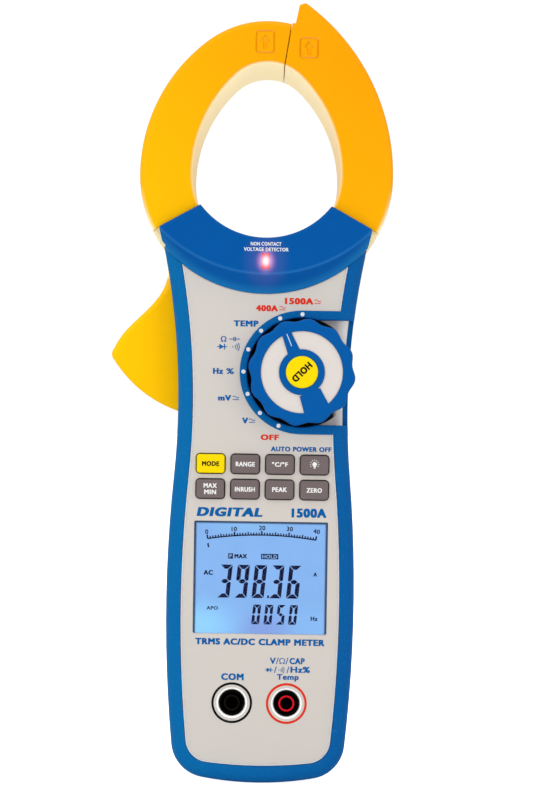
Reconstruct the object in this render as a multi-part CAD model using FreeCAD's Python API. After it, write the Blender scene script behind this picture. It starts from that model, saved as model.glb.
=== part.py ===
import FreeCAD, Part
import math
import os
from FreeCAD import Vector

# Hand-held clamp meter, millimetres.
# Drawn standing on its lower end: +Z runs up towards the jaw, the display faces -Y and +X is to the
# right. Y = 0 is the plane where the two casing halves meet. export() moves the finished pieces so
# that the origin is the centre of the conductor opening.

# Body outline: every curve shares its centre with the same curve at any inset.
HIP_HALF_WIDTH = 35.3
HIP_Z = 69.5
HIP_RADIUS = 520.0
WAIST_HALF_WIDTH = 31.9
WAIST_RADIUS = 285.0
BASE_Z = 2.1
BASE_RADIUS = 118.0
CORNER_RADIUS = 14.0
BODY_TOP = 222.0

# Layers from front to back.
COLLAR_FRONT = -23.0
BAND_FRONT = -19.6
RING_FRONT = BAND_FRONT
RING_BACK = -17.4
PANEL_FRONT = -19.0
BORDER_FRONT = -17.0
WELL_FLOOR = -14.0
BOARD_FRONT = -10.2
BOARD_BACK = -8.6
PARTING = 0.0
BORDER_BACK = 19.0
BAND_BACK = 20.6
PANEL_BACK = 21.0

SKIN = 2.4
OVERMOULD = 2.0
WALL_INSET = 4.2
BAND_WIDTH = 5.5
EDGE_ROUNDING = 4.6
PANEL_GAP = 0.2
PANEL_CHAMFER = 0.35
POCKET_INSET = 6.9
PANEL_BASE_Z = 9.0
PANEL_BASE_RADIUS = 164.0
PANEL_CORNER = 9.0
SEAM = 0.03

# Jaw: an egg-shaped loop, round below OPENING_Z, with two flanks and a crown above it.
OPENING_Z = 230.0
JAW_HALF_WIDTH = 47.4
JAW_FLANK_RADIUS = 63.16
JAW_TOP = 287.8
HOLE_HALF_WIDTH = 27.7
HOLE_FLANK_RADIUS = 51.25
HOLE_TOP = 271.65
JAW_FRONT = -20.0
JAW_PARTING = 0.7
JAW_BACK = 14.0
ROOT_FRONT = -15.8
SPLIT_LOW = (6.2, 271.2)
SPLIT_HIGH = (8.6, 286.5)
SPLIT_GAP = 0.15
ARROW_CENTRE = (-31.8, 230.0)
ARROW_END_ANGLE = 54.6
ARROW_SHOULDER = (11.4, 293.4)
ARROW_NOTCH = (10.0, 286.6)
CORE_MARGIN = 5.0
CORE_FRONT = -11.0
CORE_BACK = 5.0
CLEARANCE = 0.15

# Jaw pivot and trigger.
PIVOT = (-12.9, 194.6)
KNUCKLE_RADIUS = 9.65
KNUCKLE_GAP = 0.6
PIN_RADIUS = 2.5
SLEEVE_BORE = 2.56
SLEEVE_RADIUS = 3.4
BLADE_FRONT = -8.0
BLADE_BACK = 12.0
TRIGGER_ROOT = (-37.2, 197.0)
TRIGGER_HEEL = (-31.5, 140.9)
SLOT_LOW = 137.2

# Collar round the jaw roots.
SADDLE_CENTRE = (0.0, 237.0)
SADDLE_RADIUS = 30.7
SADDLE_WALL = 2.2
ROOT_CLEAR_RADIUS = 33.4
COLLAR_INNER_CORNER = (24.42, 218.4)
COLLAR_OUTER_CORNER = (39.6, 209.9)
RIM_CENTRE = (0.0, 236.0)
RIM_RADIUS = 50.4
FLAT_CENTRE = (0.0, 248.4)
FLAT_RADIUS = 56.0
COLLAR_SKIN = 2.7
COLLAR_CORNER = 1.2
COLLAR_GAP = 0.06
LAMP = (0.2, 197.5)
LAMP_RADIUS = 1.1
LAMP_CENTRE_Y = -19.0
LENS_FRONT = -23.2
SENSOR_BOARD_FRONT = -17.5

# Dial.
DIAL = (14.2, 156.4)
RING_RADIUS = 23.1
WELL_RADIUS = 20.4
WELL_HALF_HEIGHT = 19.6
KNOB_RADIUS = 19.4
KNOB_WAVE = 0.55
KNOB_WAVES = 12
KNOB_FRONT = -26.0
KNOB_BACK = -15.0
POINTER_ANGLE = 112.5
SHAFT_RADIUS = 5.0
SHAFT_GAP = 0.06
BUTTON_RADIUS = 5.95
BUTTON_FRONT = -26.7
BUTTON_BACK = -23.8
PLUNGER_RADIUS = 2.0
DOT_RADIUS = 0.78
DOT_CIRCLE_RADIUS = 21.7
DIAL_STEPS = 8
STEP_ANGLE = 22.5

# Keys.
KEY_WIDTH = 10.4
KEY_HEIGHT = 7.0
KEY_PITCH = 12.93
KEY_ROW_Z = (121.9, 112.5)
KEY_CENTRE_X = 0.2
KEY_FRONT = -20.3
KEY_FLANGE_FRONT = -16.5
KEY_FLANGE_BACK = -15.3
KEY_NAMES = (
    ("key_mode", "key_range", "key_temperature", "key_backlight"),
    ("key_max_min", "key_inrush", "key_peak", "key_zero"),
)

# Display.
WINDOW = (0.0, 79.4)
WINDOW_WIDTH = 50.1
WINDOW_HEIGHT = 42.2
WINDOW_FRONT = -17.9
WINDOW_BACK = -15.5
GLASS_FRONT = -15.4
GLASS_BACK = -13.2

# Test-lead sockets.
SOCKET_X = (-9.95, 10.45)
SOCKET_Z = 32.65
SOCKET_RADIUS = 4.8
SOCKET_RIM_RADIUS = 5.7
PLUG_BORE = 2.3
CONTACT_BORE = 2.0
CONTACT_FRONT = -12.0

# Battery bay in the back.
BAY_HALF_WIDTH = 15.0
BAY_LOW = 42.0
BAY_HIGH = 104.0
DOOR_HALF_WIDTH = 18.0
DOOR_LOW = 31.0
DOOR_HIGH = 107.0
DOOR_SEAT = 18.7

CASE_SCREWS = ((-24.0, 20.0), (24.0, 20.0), (-22.6, 129.9), (22.6, 129.9), (24.0, 184.0))
DOOR_SCREWS = ((-12.0, 36.0), (12.0, 36.0))
JAW_SCREW_ANGLES = (285.0, 305.0)
JAW_SCREW_RADIUS = 30.4


# Drawing in the XZ plane.


def at(point, y=0.0):
    return Vector(point[0], y, point[1])


def polar(centre, radius, degrees):
    angle = math.radians(degrees)
    return (centre[0] + radius * math.cos(angle), centre[1] + radius * math.sin(angle))


def direction(start, end):
    return math.degrees(math.atan2(end[1] - start[1], end[0] - start[0]))


def line(start, end):
    return Part.makeLine(at(start), at(end))


def arc(centre, radius, start, end):
    middle = polar(centre, radius, (start + end) / 2)
    first = polar(centre, radius, start)
    last = polar(centre, radius, end)
    return Part.Arc(at(first), at(middle), at(last)).toShape()


def face_of(edges):
    return Part.Face(Part.Wire(Part.__sortEdges__(edges)))


def polygon(points):
    return face_of([line(a, b) for a, b in zip(points, points[1:] + points[:1])])


def disc_face(centre, radius):
    circle = Part.makeCircle(radius, at(centre), Vector(0, 1, 0))
    return Part.Face(Part.Wire(circle))


def rounded_face(centre, width, height, radius):
    x, z = centre
    a = width / 2 - radius
    b = height / 2 - radius
    corners = [(x + a, z + b), (x - a, z + b), (x - a, z - b), (x + a, z - b)]
    edges = []
    for index, corner in enumerate(corners):
        start = 90.0 * index
        edges.append(arc(corner, radius, start, start + 90))
        following = polar(corners[(index + 1) % 4], radius, start + 90)
        edges.append(line(polar(corner, radius, start + 90), following))
    return face_of(edges)


def circle_meeting(centre_a, radius_a, centre_b, radius_b):
    """The lower meeting point of two circles."""
    span = math.dist(centre_a, centre_b)
    along = (radius_a**2 - radius_b**2 + span**2) / (2 * span)
    offset = math.sqrt(radius_a**2 - along**2)
    ux = (centre_b[0] - centre_a[0]) / span
    uz = (centre_b[1] - centre_a[1]) / span
    options = [
        (centre_a[0] + along * ux - side * offset * uz, centre_a[1] + along * uz + side * offset * ux)
        for side in (1, -1)
    ]
    return min(options, key=lambda point: point[1])


# Solids.


def prism(face, front, back):
    blocks = [part.extrude(Vector(0, back - front, 0)) for part in face.Faces]
    solid = join(blocks) if len(blocks) > 1 else blocks[0]
    solid.translate(Vector(0, front, 0))
    return solid


def disc(centre, radius, front, back):
    return Part.makeCylinder(radius, back - front, at(centre, front), Vector(0, 1, 0))


def tube(centre, outer, inner, front, back):
    return disc(centre, outer, front, back).cut(disc(centre, inner, front - 1, back + 1))


def countersink(centre, wide, narrow, front):
    """A 45 degree cone that opens towards the front face."""
    depth = wide - narrow
    return Part.makeCone(wide, narrow, depth, at(centre, front), Vector(0, 1, 0))


def box(x, y, z):
    corner = Vector(x[0], y[0], z[0])
    return Part.makeBox(x[1] - x[0], y[1] - y[0], z[1] - z[0], corner)


def join(pieces):
    return pieces[0].fuse(pieces[1:]).removeSplitter()


def in_plane(edge, y):
    bounds = edge.BoundBox
    return abs(bounds.YMin - y) < 0.02 and abs(bounds.YMax - y) < 0.02


def soften(shape, radius, chosen):
    return shape.makeFillet(radius, [edge for edge in shape.Edges if chosen(edge)])


def cord(points, radius):
    """A round cord along a smooth line of (x, y, z) points."""
    curve = Part.BSplineCurve()
    curve.interpolate([Vector(*point) for point in points])
    path = curve.toShape()
    start = path.valueAt(path.FirstParameter)
    heading = path.tangentAt(path.FirstParameter)
    profile = Part.Wire(Part.makeCircle(radius, start, heading))
    return Part.Wire(path).makePipeShell([profile], True, False)


# Body outlines.


def body_face(inset, base_z=None, base_radius=None, corner=None):
    base_z = BASE_Z + inset if base_z is None else base_z
    base_radius = BASE_RADIUS - inset if base_radius is None else base_radius
    corner = CORNER_RADIUS - inset if corner is None else corner
    hip_centre = (HIP_HALF_WIDTH - HIP_RADIUS, HIP_Z)
    hip_radius = HIP_RADIUS - inset
    waist_x = WAIST_HALF_WIDTH + WAIST_RADIUS
    rise = math.sqrt((HIP_RADIUS + WAIST_RADIUS) ** 2 - (waist_x - hip_centre[0]) ** 2)
    waist_centre = (waist_x, HIP_Z + rise)
    waist_radius = WAIST_RADIUS + inset
    base_centre = (0.0, base_z + base_radius)
    corner_centre = circle_meeting(hip_centre, hip_radius - corner, base_centre, base_radius - corner)
    base_end = direction(base_centre, corner_centre)
    hip_start = direction(hip_centre, corner_centre)
    hip_end = direction(hip_centre, waist_centre)
    top_angle = 180 - math.degrees(math.asin((BODY_TOP - waist_centre[1]) / waist_radius))
    top = polar(waist_centre, waist_radius, top_angle)
    right = [
        arc(base_centre, base_radius, -90, base_end),
        arc(corner_centre, corner, base_end, hip_start),
        arc(hip_centre, hip_radius, hip_start, hip_end),
        arc(waist_centre, waist_radius, 180 + hip_end, top_angle),
        line(top, (0.0, BODY_TOP)),
    ]
    left = [edge.mirror(Vector(0, 0, 0), Vector(1, 0, 0)) for edge in right]
    return face_of(right + left)


def panel_face(inset):
    extra = inset - BAND_WIDTH
    return body_face(
        inset, PANEL_BASE_Z + extra, PANEL_BASE_RADIUS - extra, max(PANEL_CORNER - extra, 2.0)
    )


def below_collar(face, gap):
    return face.cut(disc_face(RIM_CENTRE, RIM_RADIUS + gap))


def collar_face():
    inner = COLLAR_INNER_CORNER
    outer = COLLAR_OUTER_CORNER
    slope = (outer[1] - inner[1]) / (outer[0] - inner[0])
    reach = 70.0
    far = (reach, outer[1] + slope * (reach - outer[0]))
    wedge = polygon([inner, far, (reach, 260.0), (inner[0], 260.0)])
    mirrored = wedge.mirror(Vector(0, 0, 0), Vector(1, 0, 0))
    whole = body_face(0.0).cut([disc_face(SADDLE_CENTRE, SADDLE_RADIUS), wedge, mirrored])
    return whole.common(disc_face(RIM_CENTRE, RIM_RADIUS))


def well_face(inset, grow):
    x, z = DIAL
    half = WELL_HALF_HEIGHT + grow
    channel = polygon([(x, z - half), (x + 40, z - half), (x + 40, z + half), (x, z + half)])
    return disc_face(DIAL, WELL_RADIUS + grow).fuse(channel).common(body_face(inset))


def dial_ring_face():
    x, z = DIAL
    half = RING_RADIUS
    bar = polygon([(x, z - half), (x + 40, z - half), (x + 40, z + half), (x, z + half)])
    return disc_face(DIAL, RING_RADIUS).fuse(bar).common(body_face(EDGE_ROUNDING + 0.1))


def jaw_clearance():
    """Room for the trigger, the swinging jaw root and the roots at rest."""
    trigger_slot = box((-50, -20), (BLADE_FRONT - 0.3, BLADE_BACK + 0.3), (SLOT_LOW, 225))
    swing_slot = box((-50, -24), (ROOT_FRONT - 0.3, JAW_BACK + 0.3), (183.6, 225))
    roots = disc((0.0, OPENING_Z), JAW_HALF_WIDTH + 0.4, ROOT_FRONT - 0.3, JAW_BACK + 0.3)
    return [trigger_slot, swing_slot, roots]


# Casing.


def key_centre(column, row):
    return (KEY_CENTRE_X + (column - 1.5) * KEY_PITCH, KEY_ROW_Z[row])


def key_centres():
    return [key_centre(column, row) for row in range(2) for column in range(4)]


def socket_centres():
    return [(x, SOCKET_Z) for x in SOCKET_X]


def raised_panel(front, back, open_side):
    """The part of a casing half that stands inside the overmould's opening."""
    panel = prism(panel_face(BAND_WIDTH + PANEL_GAP), front, back)
    panel = panel.makeChamfer(PANEL_CHAMFER, [edge for edge in panel.Edges if in_plane(edge, open_side)])
    return panel.cut(disc(RIM_CENTRE, RIM_RADIUS + COLLAR_GAP, front - 1, back + 1))


def front_casing():
    shell = prism(below_collar(body_face(OVERMOULD), COLLAR_GAP), BORDER_FRONT, PARTING - SEAM)
    hollow = prism(below_collar(body_face(WALL_INSET), -2), BORDER_FRONT + SKIN, PARTING)
    raised = raised_panel(PANEL_FRONT, BORDER_FRONT + 0.1, PANEL_FRONT)
    pocket = prism(below_collar(panel_face(POCKET_INSET), -2), PANEL_FRONT + SKIN, PARTING)
    casing = join([shell, raised]).cut([hollow, pocket])
    ring_seat = prism(dial_ring_face(), RING_FRONT - 1, RING_BACK + 0.05)
    well_block = prism(well_face(OVERMOULD, 1.6), BORDER_FRONT, WELL_FLOOR + 1.6)
    well = prism(well_face(0.0, 0.0), RING_FRONT - 5, WELL_FLOOR)
    casing = join([casing.cut(ring_seat), well_block]).cut(well)
    bosses = [disc(point, 3.0, PANEL_FRONT + SKIN - 0.1, PARTING - SEAM) for point in CASE_SCREWS]
    casing = join([casing] + bosses)
    openings = [prism(rounded_face(WINDOW, WINDOW_WIDTH, WINDOW_HEIGHT, 0.6), -20, -15)]
    for centre in key_centres():
        openings.append(prism(rounded_face(centre, KEY_WIDTH + 0.4, KEY_HEIGHT + 0.4, 1.2), -20, -15))
    for centre in socket_centres():
        openings.append(disc(centre, SOCKET_RADIUS + 0.05, -20, -15))
        openings.append(countersink(centre, SOCKET_RIM_RADIUS, SOCKET_RADIUS, PANEL_FRONT))
    openings.append(disc(DIAL, SHAFT_RADIUS + SHAFT_GAP, WELL_FLOOR - 1, WELL_FLOOR + 2))
    openings.append(tube(DIAL, 13.05, 10.95, WELL_FLOOR - 1, WELL_FLOOR + 0.7))
    openings += [disc(point, 1.2, -14.0, 1.0) for point in CASE_SCREWS]
    casing = casing.cut(openings + jaw_clearance())
    return casing


def overmould_shell(inner_face, outer_front, outer_back, border_front, border_back):
    outer = prism(below_collar(body_face(0.0), COLLAR_GAP), outer_front, outer_back)
    flat = outer_front if outer_back <= PARTING else outer_back
    outer = soften(outer, EDGE_ROUNDING, lambda edge: in_plane(edge, flat) and side_edge(edge))
    inside = prism(below_collar(body_face(OVERMOULD), -3), border_front, border_back)
    return outer.cut([inside, prism(inner_face, outer_front - 1, outer_back + 1)])


def side_edge(edge):
    """True for the long outer edges of the body, false for the arc under the collar."""
    middle = edge.valueAt((edge.FirstParameter + edge.LastParameter) / 2)
    return math.dist((middle.x, middle.z), RIM_CENTRE) > RIM_RADIUS + 1


def front_overmould():
    opening = below_collar(panel_face(BAND_WIDTH), -3)
    band = overmould_shell(opening, BAND_FRONT, PARTING - SEAM, BORDER_FRONT, PARTING + 1)
    ring = prism(dial_ring_face().cut(disc_face(DIAL, WELL_RADIUS)), RING_FRONT, RING_BACK)
    ring = ring.cut(prism(well_face(0.0, 0.0), RING_FRONT - 1, RING_FRONT + 4))
    ring = soften(ring, 0.5, lambda edge: in_plane(edge, RING_FRONT) and dial_edge(edge))
    body = join([band, ring])
    sockets = [disc(point, DOT_RADIUS + 0.02, RING_FRONT - 1, RING_FRONT + 0.15) for point in dot_points()]
    well = prism(well_face(0.0, 0.0), RING_FRONT - 5, WELL_FLOOR + 0.4)
    return body.cut([well] + sockets + jaw_clearance())


def dial_edge(edge):
    middle = edge.valueAt((edge.FirstParameter + edge.LastParameter) / 2)
    return middle.x < DIAL[0] + 14


def dot_points():
    return [polar(DIAL, DOT_CIRCLE_RADIUS, 90 + STEP_ANGLE * step) for step in range(DIAL_STEPS)]


def dial_dots():
    return Part.makeCompound(
        [disc(point, DOT_RADIUS, RING_FRONT - 0.05, RING_FRONT + 0.15) for point in dot_points()]
    )


def rear_overmould():
    opening = below_collar(panel_face(BAND_WIDTH), -3)
    band = overmould_shell(opening, PARTING + SEAM, BAND_BACK, PARTING - 1, BORDER_BACK)
    return band.cut(jaw_clearance())


def rear_casing():
    shell = prism(below_collar(body_face(OVERMOULD), COLLAR_GAP), PARTING + SEAM, BORDER_BACK)
    hollow = prism(below_collar(body_face(WALL_INSET), -2), PARTING, BORDER_BACK - SKIN)
    raised = raised_panel(BORDER_BACK - 0.1, PANEL_BACK, PANEL_BACK)
    pocket = prism(below_collar(panel_face(POCKET_INSET), -2), PARTING, PANEL_BACK - SKIN)
    casing = join([shell, raised]).cut([hollow, pocket])
    wall = 1.5
    bay_x = (-BAY_HALF_WIDTH, BAY_HALF_WIDTH)
    bay_outer_x = (-BAY_HALF_WIDTH - wall, BAY_HALF_WIDTH + wall)
    frame = box((-20.5, 20.5), (16.2, PANEL_BACK - SKIN + 0.1), (DOOR_LOW - 2, DOOR_HIGH + 2))
    bay = box(bay_outer_x, (PARTING + SEAM, 17), (BAY_LOW - wall, BAY_HIGH + wall))
    bosses = [disc(point, 3.6, PARTING + SEAM, PANEL_BACK - SKIN + 0.1) for point in CASE_SCREWS]
    bosses += [disc(point, 2.6, 9.0, 17.0) for point in DOOR_SCREWS]
    casing = join([casing, frame, bay] + bosses)
    cuts = [box(bay_x, (1.6, PANEL_BACK + 1), (BAY_LOW, BAY_HIGH))]
    recess = rounded_face(
        (0.0, (DOOR_LOW + DOOR_HIGH) / 2), 2 * DOOR_HALF_WIDTH + 0.3, DOOR_HIGH - DOOR_LOW + 0.3, 3.15
    )
    cuts.append(prism(recess, DOOR_SEAT, PANEL_BACK + 1))
    cuts.append(box((-4.0, 4.0), (2.0, 6.0), (BAY_HIGH - 1, BAY_HIGH + 3)))
    cuts += [disc(point, 2.9, 10.0, PANEL_BACK + 1) for point in CASE_SCREWS]
    cuts += [disc(point, 1.4, PARTING - 1, 11.0) for point in CASE_SCREWS]
    cuts += [disc(point, 1.1, 10.0, DOOR_SEAT + 1) for point in DOOR_SCREWS]
    return casing.cut(cuts + jaw_clearance())


def battery_door():
    centre = (0.0, (DOOR_LOW + DOOR_HIGH) / 2)
    plate = prism(
        rounded_face(centre, 2 * DOOR_HALF_WIDTH, DOOR_HIGH - DOOR_LOW, 3.0), DOOR_SEAT + 0.02, PANEL_BACK
    )
    plate = soften(plate, 0.4, lambda edge: in_plane(edge, PANEL_BACK))
    grip = [box((-9, 9), (PANEL_BACK - 0.5, PANEL_BACK + 1), (z, z + 1.2)) for z in (92, 94.6, 97.2, 99.8)]
    holes = []
    for point in DOOR_SCREWS:
        holes.append(disc(point, 1.4, DOOR_SEAT - 1, PANEL_BACK + 1))
        holes.append(disc(point, 2.6, PANEL_BACK - 1.3, PANEL_BACK + 1))
    return plate.cut(grip + holes)


def screw(point, head_front, head_back, tip, shank_radius, head_radius):
    head = disc(point, head_radius, head_front, head_back)
    shank = disc(point, shank_radius, tip, head_front)
    slot = 0.35
    depth = (head_back - 0.7, head_back + 1)
    x, z = point
    across = box((x - 1.4, x + 1.4), depth, (z - slot, z + slot))
    down = box((x - slot, x + slot), depth, (z - 1.4, z + 1.4))
    return join([head, shank]).cut([across, down])


def case_screws():
    return Part.makeCompound([screw(p, 10.02, 12.2, -12.0, 1.15, 2.6) for p in CASE_SCREWS])


def battery_door_screws():
    head_front = PANEL_BACK - 1.28
    return Part.makeCompound(
        [screw(p, head_front, PANEL_BACK - 0.1, 10.4, 1.05, 2.4) for p in DOOR_SCREWS]
    )


def case_seal():
    ring = body_face(2.75).cut(body_face(3.45))
    lower = ring.common(polygon([(-40, -5), (40, -5), (40, 136), (-40, 136)]))
    return prism(lower, -0.6, 0.6)


# Collar.


def collar_form(depth):
    """The collar's outside: a flat crescent that slopes down to its lower rim."""
    flat = Part.Wire(Part.makeCircle(FLAT_RADIUS, at(FLAT_CENTRE, COLLAR_FRONT + depth), Vector(0, 1, 0)))
    rim_y = BAND_FRONT + 0.2 + depth
    rim = Part.Wire(Part.makeCircle(RIM_RADIUS + 0.01, at(RIM_CENTRE, rim_y), Vector(0, 1, 0)))
    slope = Part.makeLoft([flat, rim], True, True)
    return slope.fuse(disc(RIM_CENTRE, RIM_RADIUS + 0.01, rim_y, 5.0))


def saddle_wall(front, back):
    ring = disc_face(SADDLE_CENTRE, SADDLE_RADIUS + SADDLE_WALL)
    return prism(collar_face().common(ring), front, back)


def collar_corner(edge):
    bounds = edge.BoundBox
    across = abs(bounds.XMax - bounds.XMin) + abs(bounds.ZMax - bounds.ZMin)
    middle = edge.valueAt((edge.FirstParameter + edge.LastParameter) / 2)
    return across < 0.1 and middle.z > 206


def front_collar():
    block = prism(collar_face(), COLLAR_FRONT - 0.01, BAND_FRONT + SKIN)
    block = soften(block, COLLAR_CORNER, collar_corner)
    block = block.common(collar_form(0.0))
    block = soften(block, 1.0, lambda edge: in_plane(edge, COLLAR_FRONT) and not flat_border(edge))
    inside = collar_form(COLLAR_SKIN)
    skin = block.cut(inside)
    boss = disc(PIVOT, 4.2, COLLAR_FRONT + 2, ROOT_FRONT - 0.3)
    collar = join([skin, saddle_wall(COLLAR_FRONT + COLLAR_SKIN - 0.5, PARTING - SEAM), boss])
    across, upright = indicator_room(0.0)
    lamp = box(across, (COLLAR_FRONT - 1, -18), upright)
    swept = polygon([(-24.0, 222.0), (-34.4, 207.4), (-38.9, 200.6), (-50.0, 200.6), (-50.0, 222.0)])
    swing_room = prism(swept, JAW_FRONT - 0.35, PARTING)
    return collar.cut([lamp, swing_room, disc(PIVOT, PIN_RADIUS, -19.5, -15.0)])


def flat_border(edge):
    middle = edge.valueAt((edge.FirstParameter + edge.LastParameter) / 2)
    return abs(math.dist((middle.x, middle.z), FLAT_CENTRE) - FLAT_RADIUS) < 0.3


def rear_collar():
    plate = prism(collar_face(), PANEL_BACK - COLLAR_SKIN, PANEL_BACK)
    plate = soften(plate, COLLAR_CORNER, collar_corner)
    plate = soften(plate, 1.2, lambda edge: in_plane(edge, PANEL_BACK))
    outline = collar_face().Faces[0]
    lip = prism(outline.cut(outline.makeOffset2D(-2.2)), JAW_BACK + 0.3, PANEL_BACK - 1.6)
    lip = soften(lip, COLLAR_CORNER, collar_corner)
    boss = disc(PIVOT, 3.4, JAW_BACK + 0.3, PANEL_BACK - 1)
    posts = [disc(point, 3.0, JAW_BACK + 0.3, PANEL_BACK - 1) for point in jaw_screw_points()]
    collar = join([plate, lip, saddle_wall(PARTING + SEAM, PANEL_BACK - 1.6), boss] + posts)
    holes = [disc(PIVOT, PIN_RADIUS, JAW_BACK, PANEL_BACK - 2.4)]
    for point in jaw_screw_points():
        holes.append(disc(point, 1.3, JAW_BACK, PANEL_BACK + 1))
        holes.append(disc(point, 2.2, PANEL_BACK - 2.0, PANEL_BACK + 1))
    return collar.cut(holes)


def jaw_screw_points():
    return [polar((0.0, OPENING_Z), JAW_SCREW_RADIUS, angle) for angle in JAW_SCREW_ANGLES]


def jaw_mount_screws():
    head_front = PANEL_BACK - 1.98
    return Part.makeCompound(
        [screw(p, head_front, PANEL_BACK - 0.4, 2.0, 1.0, 2.0) for p in jaw_screw_points()]
    )


def indicator_room(gap):
    """The slot in the collar that the indicator lens fills with a gap all round."""
    x, z = LAMP
    return (x - 1.4 + gap, x + 1.4 - gap), (z - 2.9 + gap, z + 2.9 - gap)


def indicator_lens():
    across, upright = indicator_room(0.05)
    lens = box(across, (LENS_FRONT, LENS_FRONT + 3.0), upright)
    return soften(lens, 0.3, lambda edge: in_plane(edge, LENS_FRONT))


def indicator_lamp():
    dome = Part.makeSphere(LAMP_RADIUS, at(LAMP, LAMP_CENTRE_Y))
    return join([dome, disc(LAMP, LAMP_RADIUS, LAMP_CENTRE_Y, SENSOR_BOARD_FRONT)])


def sensor_board():
    return prism(rounded_face((1.0, 196.0), 16, 12, 1.0), SENSOR_BOARD_FRONT, SENSOR_BOARD_FRONT + 0.9)


# Jaw.


def egg_face(half_width, top, flank_radius, inset):
    """The jaw loop's outline: half circle, two flanks and a crown, all tangent."""
    flank_x = flank_radius - half_width
    rise = top - OPENING_Z
    crown = (flank_x**2 + rise**2 - flank_radius**2) / (2 * (rise - flank_radius))
    crown_centre = (0.0, top - crown)
    flank_centre = (flank_x, OPENING_Z)
    turn = direction(flank_centre, crown_centre)
    left_turn = turn if turn > 0 else turn + 360
    radius = flank_radius - inset
    edges = [
        arc((0.0, OPENING_Z), half_width - inset, 180, 360),
        arc(flank_centre, radius, left_turn, 180),
        arc(crown_centre, crown - inset, 180 - left_turn, left_turn),
        arc((-flank_x, OPENING_Z), radius, 0, 180 - left_turn),
    ]
    return face_of(edges)


def outer_egg(inset=0.0):
    return egg_face(JAW_HALF_WIDTH, JAW_TOP, JAW_FLANK_RADIUS, inset)


def inner_egg(inset=0.0):
    return egg_face(HOLE_HALF_WIDTH, HOLE_TOP, HOLE_FLANK_RADIUS, inset)


def split_point(z, shift):
    slope = (SPLIT_HIGH[0] - SPLIT_LOW[0]) / (SPLIT_HIGH[1] - SPLIT_LOW[1])
    return (SPLIT_LOW[0] + slope * (z - SPLIT_LOW[1]) + shift, z)


def left_side(shift):
    low = split_point(262, -shift)
    high = split_point(300, -shift)
    return polygon([low, high, (-90, 300), (-90, 150), (0, 150), (0, 262)])


def right_side(shift):
    low = split_point(262, shift)
    high = split_point(300, shift)
    return polygon([low, high, (90, 300), (90, 150), (0, 150), (0, 262)])


def above_collar(side, lift):
    """The half plane above the collar's radial edge on one side (-1 left, +1 right)."""
    inner = COLLAR_INNER_CORNER
    outer = COLLAR_OUTER_CORNER
    slope = (outer[1] - inner[1]) / (outer[0] - inner[0])
    near = (0.0, inner[1] - slope * inner[0] + lift)
    far = (90.0, inner[1] + slope * (90 - inner[0]) + lift)
    points = [near, far, (90.0, 310.0), (-20.0, 310.0), (-20.0, near[1])]
    return polygon([(side * x, z) for x, z in points])


def arrow_face():
    """The fixed jaw's outer limit: one long arc that rises to a pointer beside the split."""
    radius = JAW_HALF_WIDTH - ARROW_CENTRE[0]
    tip = polar(ARROW_CENTRE, radius, ARROW_END_ANGLE)
    foot = (0.0, OPENING_Z - JAW_HALF_WIDTH)
    edges = [
        arc((0.0, OPENING_Z), JAW_HALF_WIDTH, -90, 0),
        arc(ARROW_CENTRE, radius, 0, ARROW_END_ANGLE),
        line(tip, ARROW_SHOULDER),
        line(ARROW_SHOULDER, ARROW_NOTCH),
        line(ARROW_NOTCH, (0.0, ARROW_NOTCH[1])),
        line((0.0, ARROW_NOTCH[1]), foot),
    ]
    return face_of(edges)


def inner_radii():
    return [edge.Curve.Radius for edge in inner_egg().Edges]


def is_arc(edge):
    return isinstance(edge.Curve, Part.Circle)


def on_inner_wall(edge):
    return any(abs(edge.Curve.Radius - radius) < 0.01 for radius in inner_radii())


def jaw_block(face, front, back):
    """A jaw half with rounded outer and inner edges on its open side."""
    flat = front if front < JAW_PARTING - 1 else back
    block = prism(face, front, back)
    block = soften(block, 2.6, lambda e: in_plane(e, flat) and is_arc(e) and not on_inner_wall(e))
    return soften(block, 1.6, lambda e: in_plane(e, flat) and is_arc(e) and on_inner_wall(e))


def mark_frame(centre, width, height):
    """A shallow rounded frame with an arrow in it that points across the split."""
    outer = rounded_face(centre, width, height, 1.2)
    inner = rounded_face(centre, width - 1.0, height - 1.0, 0.7)
    x, z = centre
    arrow = polygon(
        [(x, z + 2.6), (x + 1.9, z + 0.3), (x + 0.7, z + 0.3), (x + 0.7, z - 2.6),
         (x - 0.7, z - 2.6), (x - 0.7, z + 0.3), (x - 1.9, z + 0.3)]
    )
    depth = (JAW_FRONT - 1, JAW_FRONT + 0.3)
    return [prism(outer.cut(inner), *depth), prism(arrow, *depth)]


def moving_full_face():
    loop = outer_egg().cut(inner_egg())
    return loop.common(left_side(SPLIT_GAP)).common(above_collar(-1, 0.1))


def moving_root_face():
    ring = disc_face((0.0, OPENING_Z), JAW_HALF_WIDTH).cut(disc_face(SADDLE_CENTRE, ROOT_CLEAR_RADIUS))
    centre = (0.0, OPENING_Z)
    toward_pivot = direction(centre, PIVOT)
    limit = polygon([centre, polar(centre, 90, toward_pivot), (-90, 150), (-90, OPENING_Z)])
    beyond = above_collar(-1, 0.2)
    sector = ring.common(limit).cut(beyond)
    return sector.fuse(disc_face(PIVOT, KNUCKLE_RADIUS)).removeSplitter()


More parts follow.
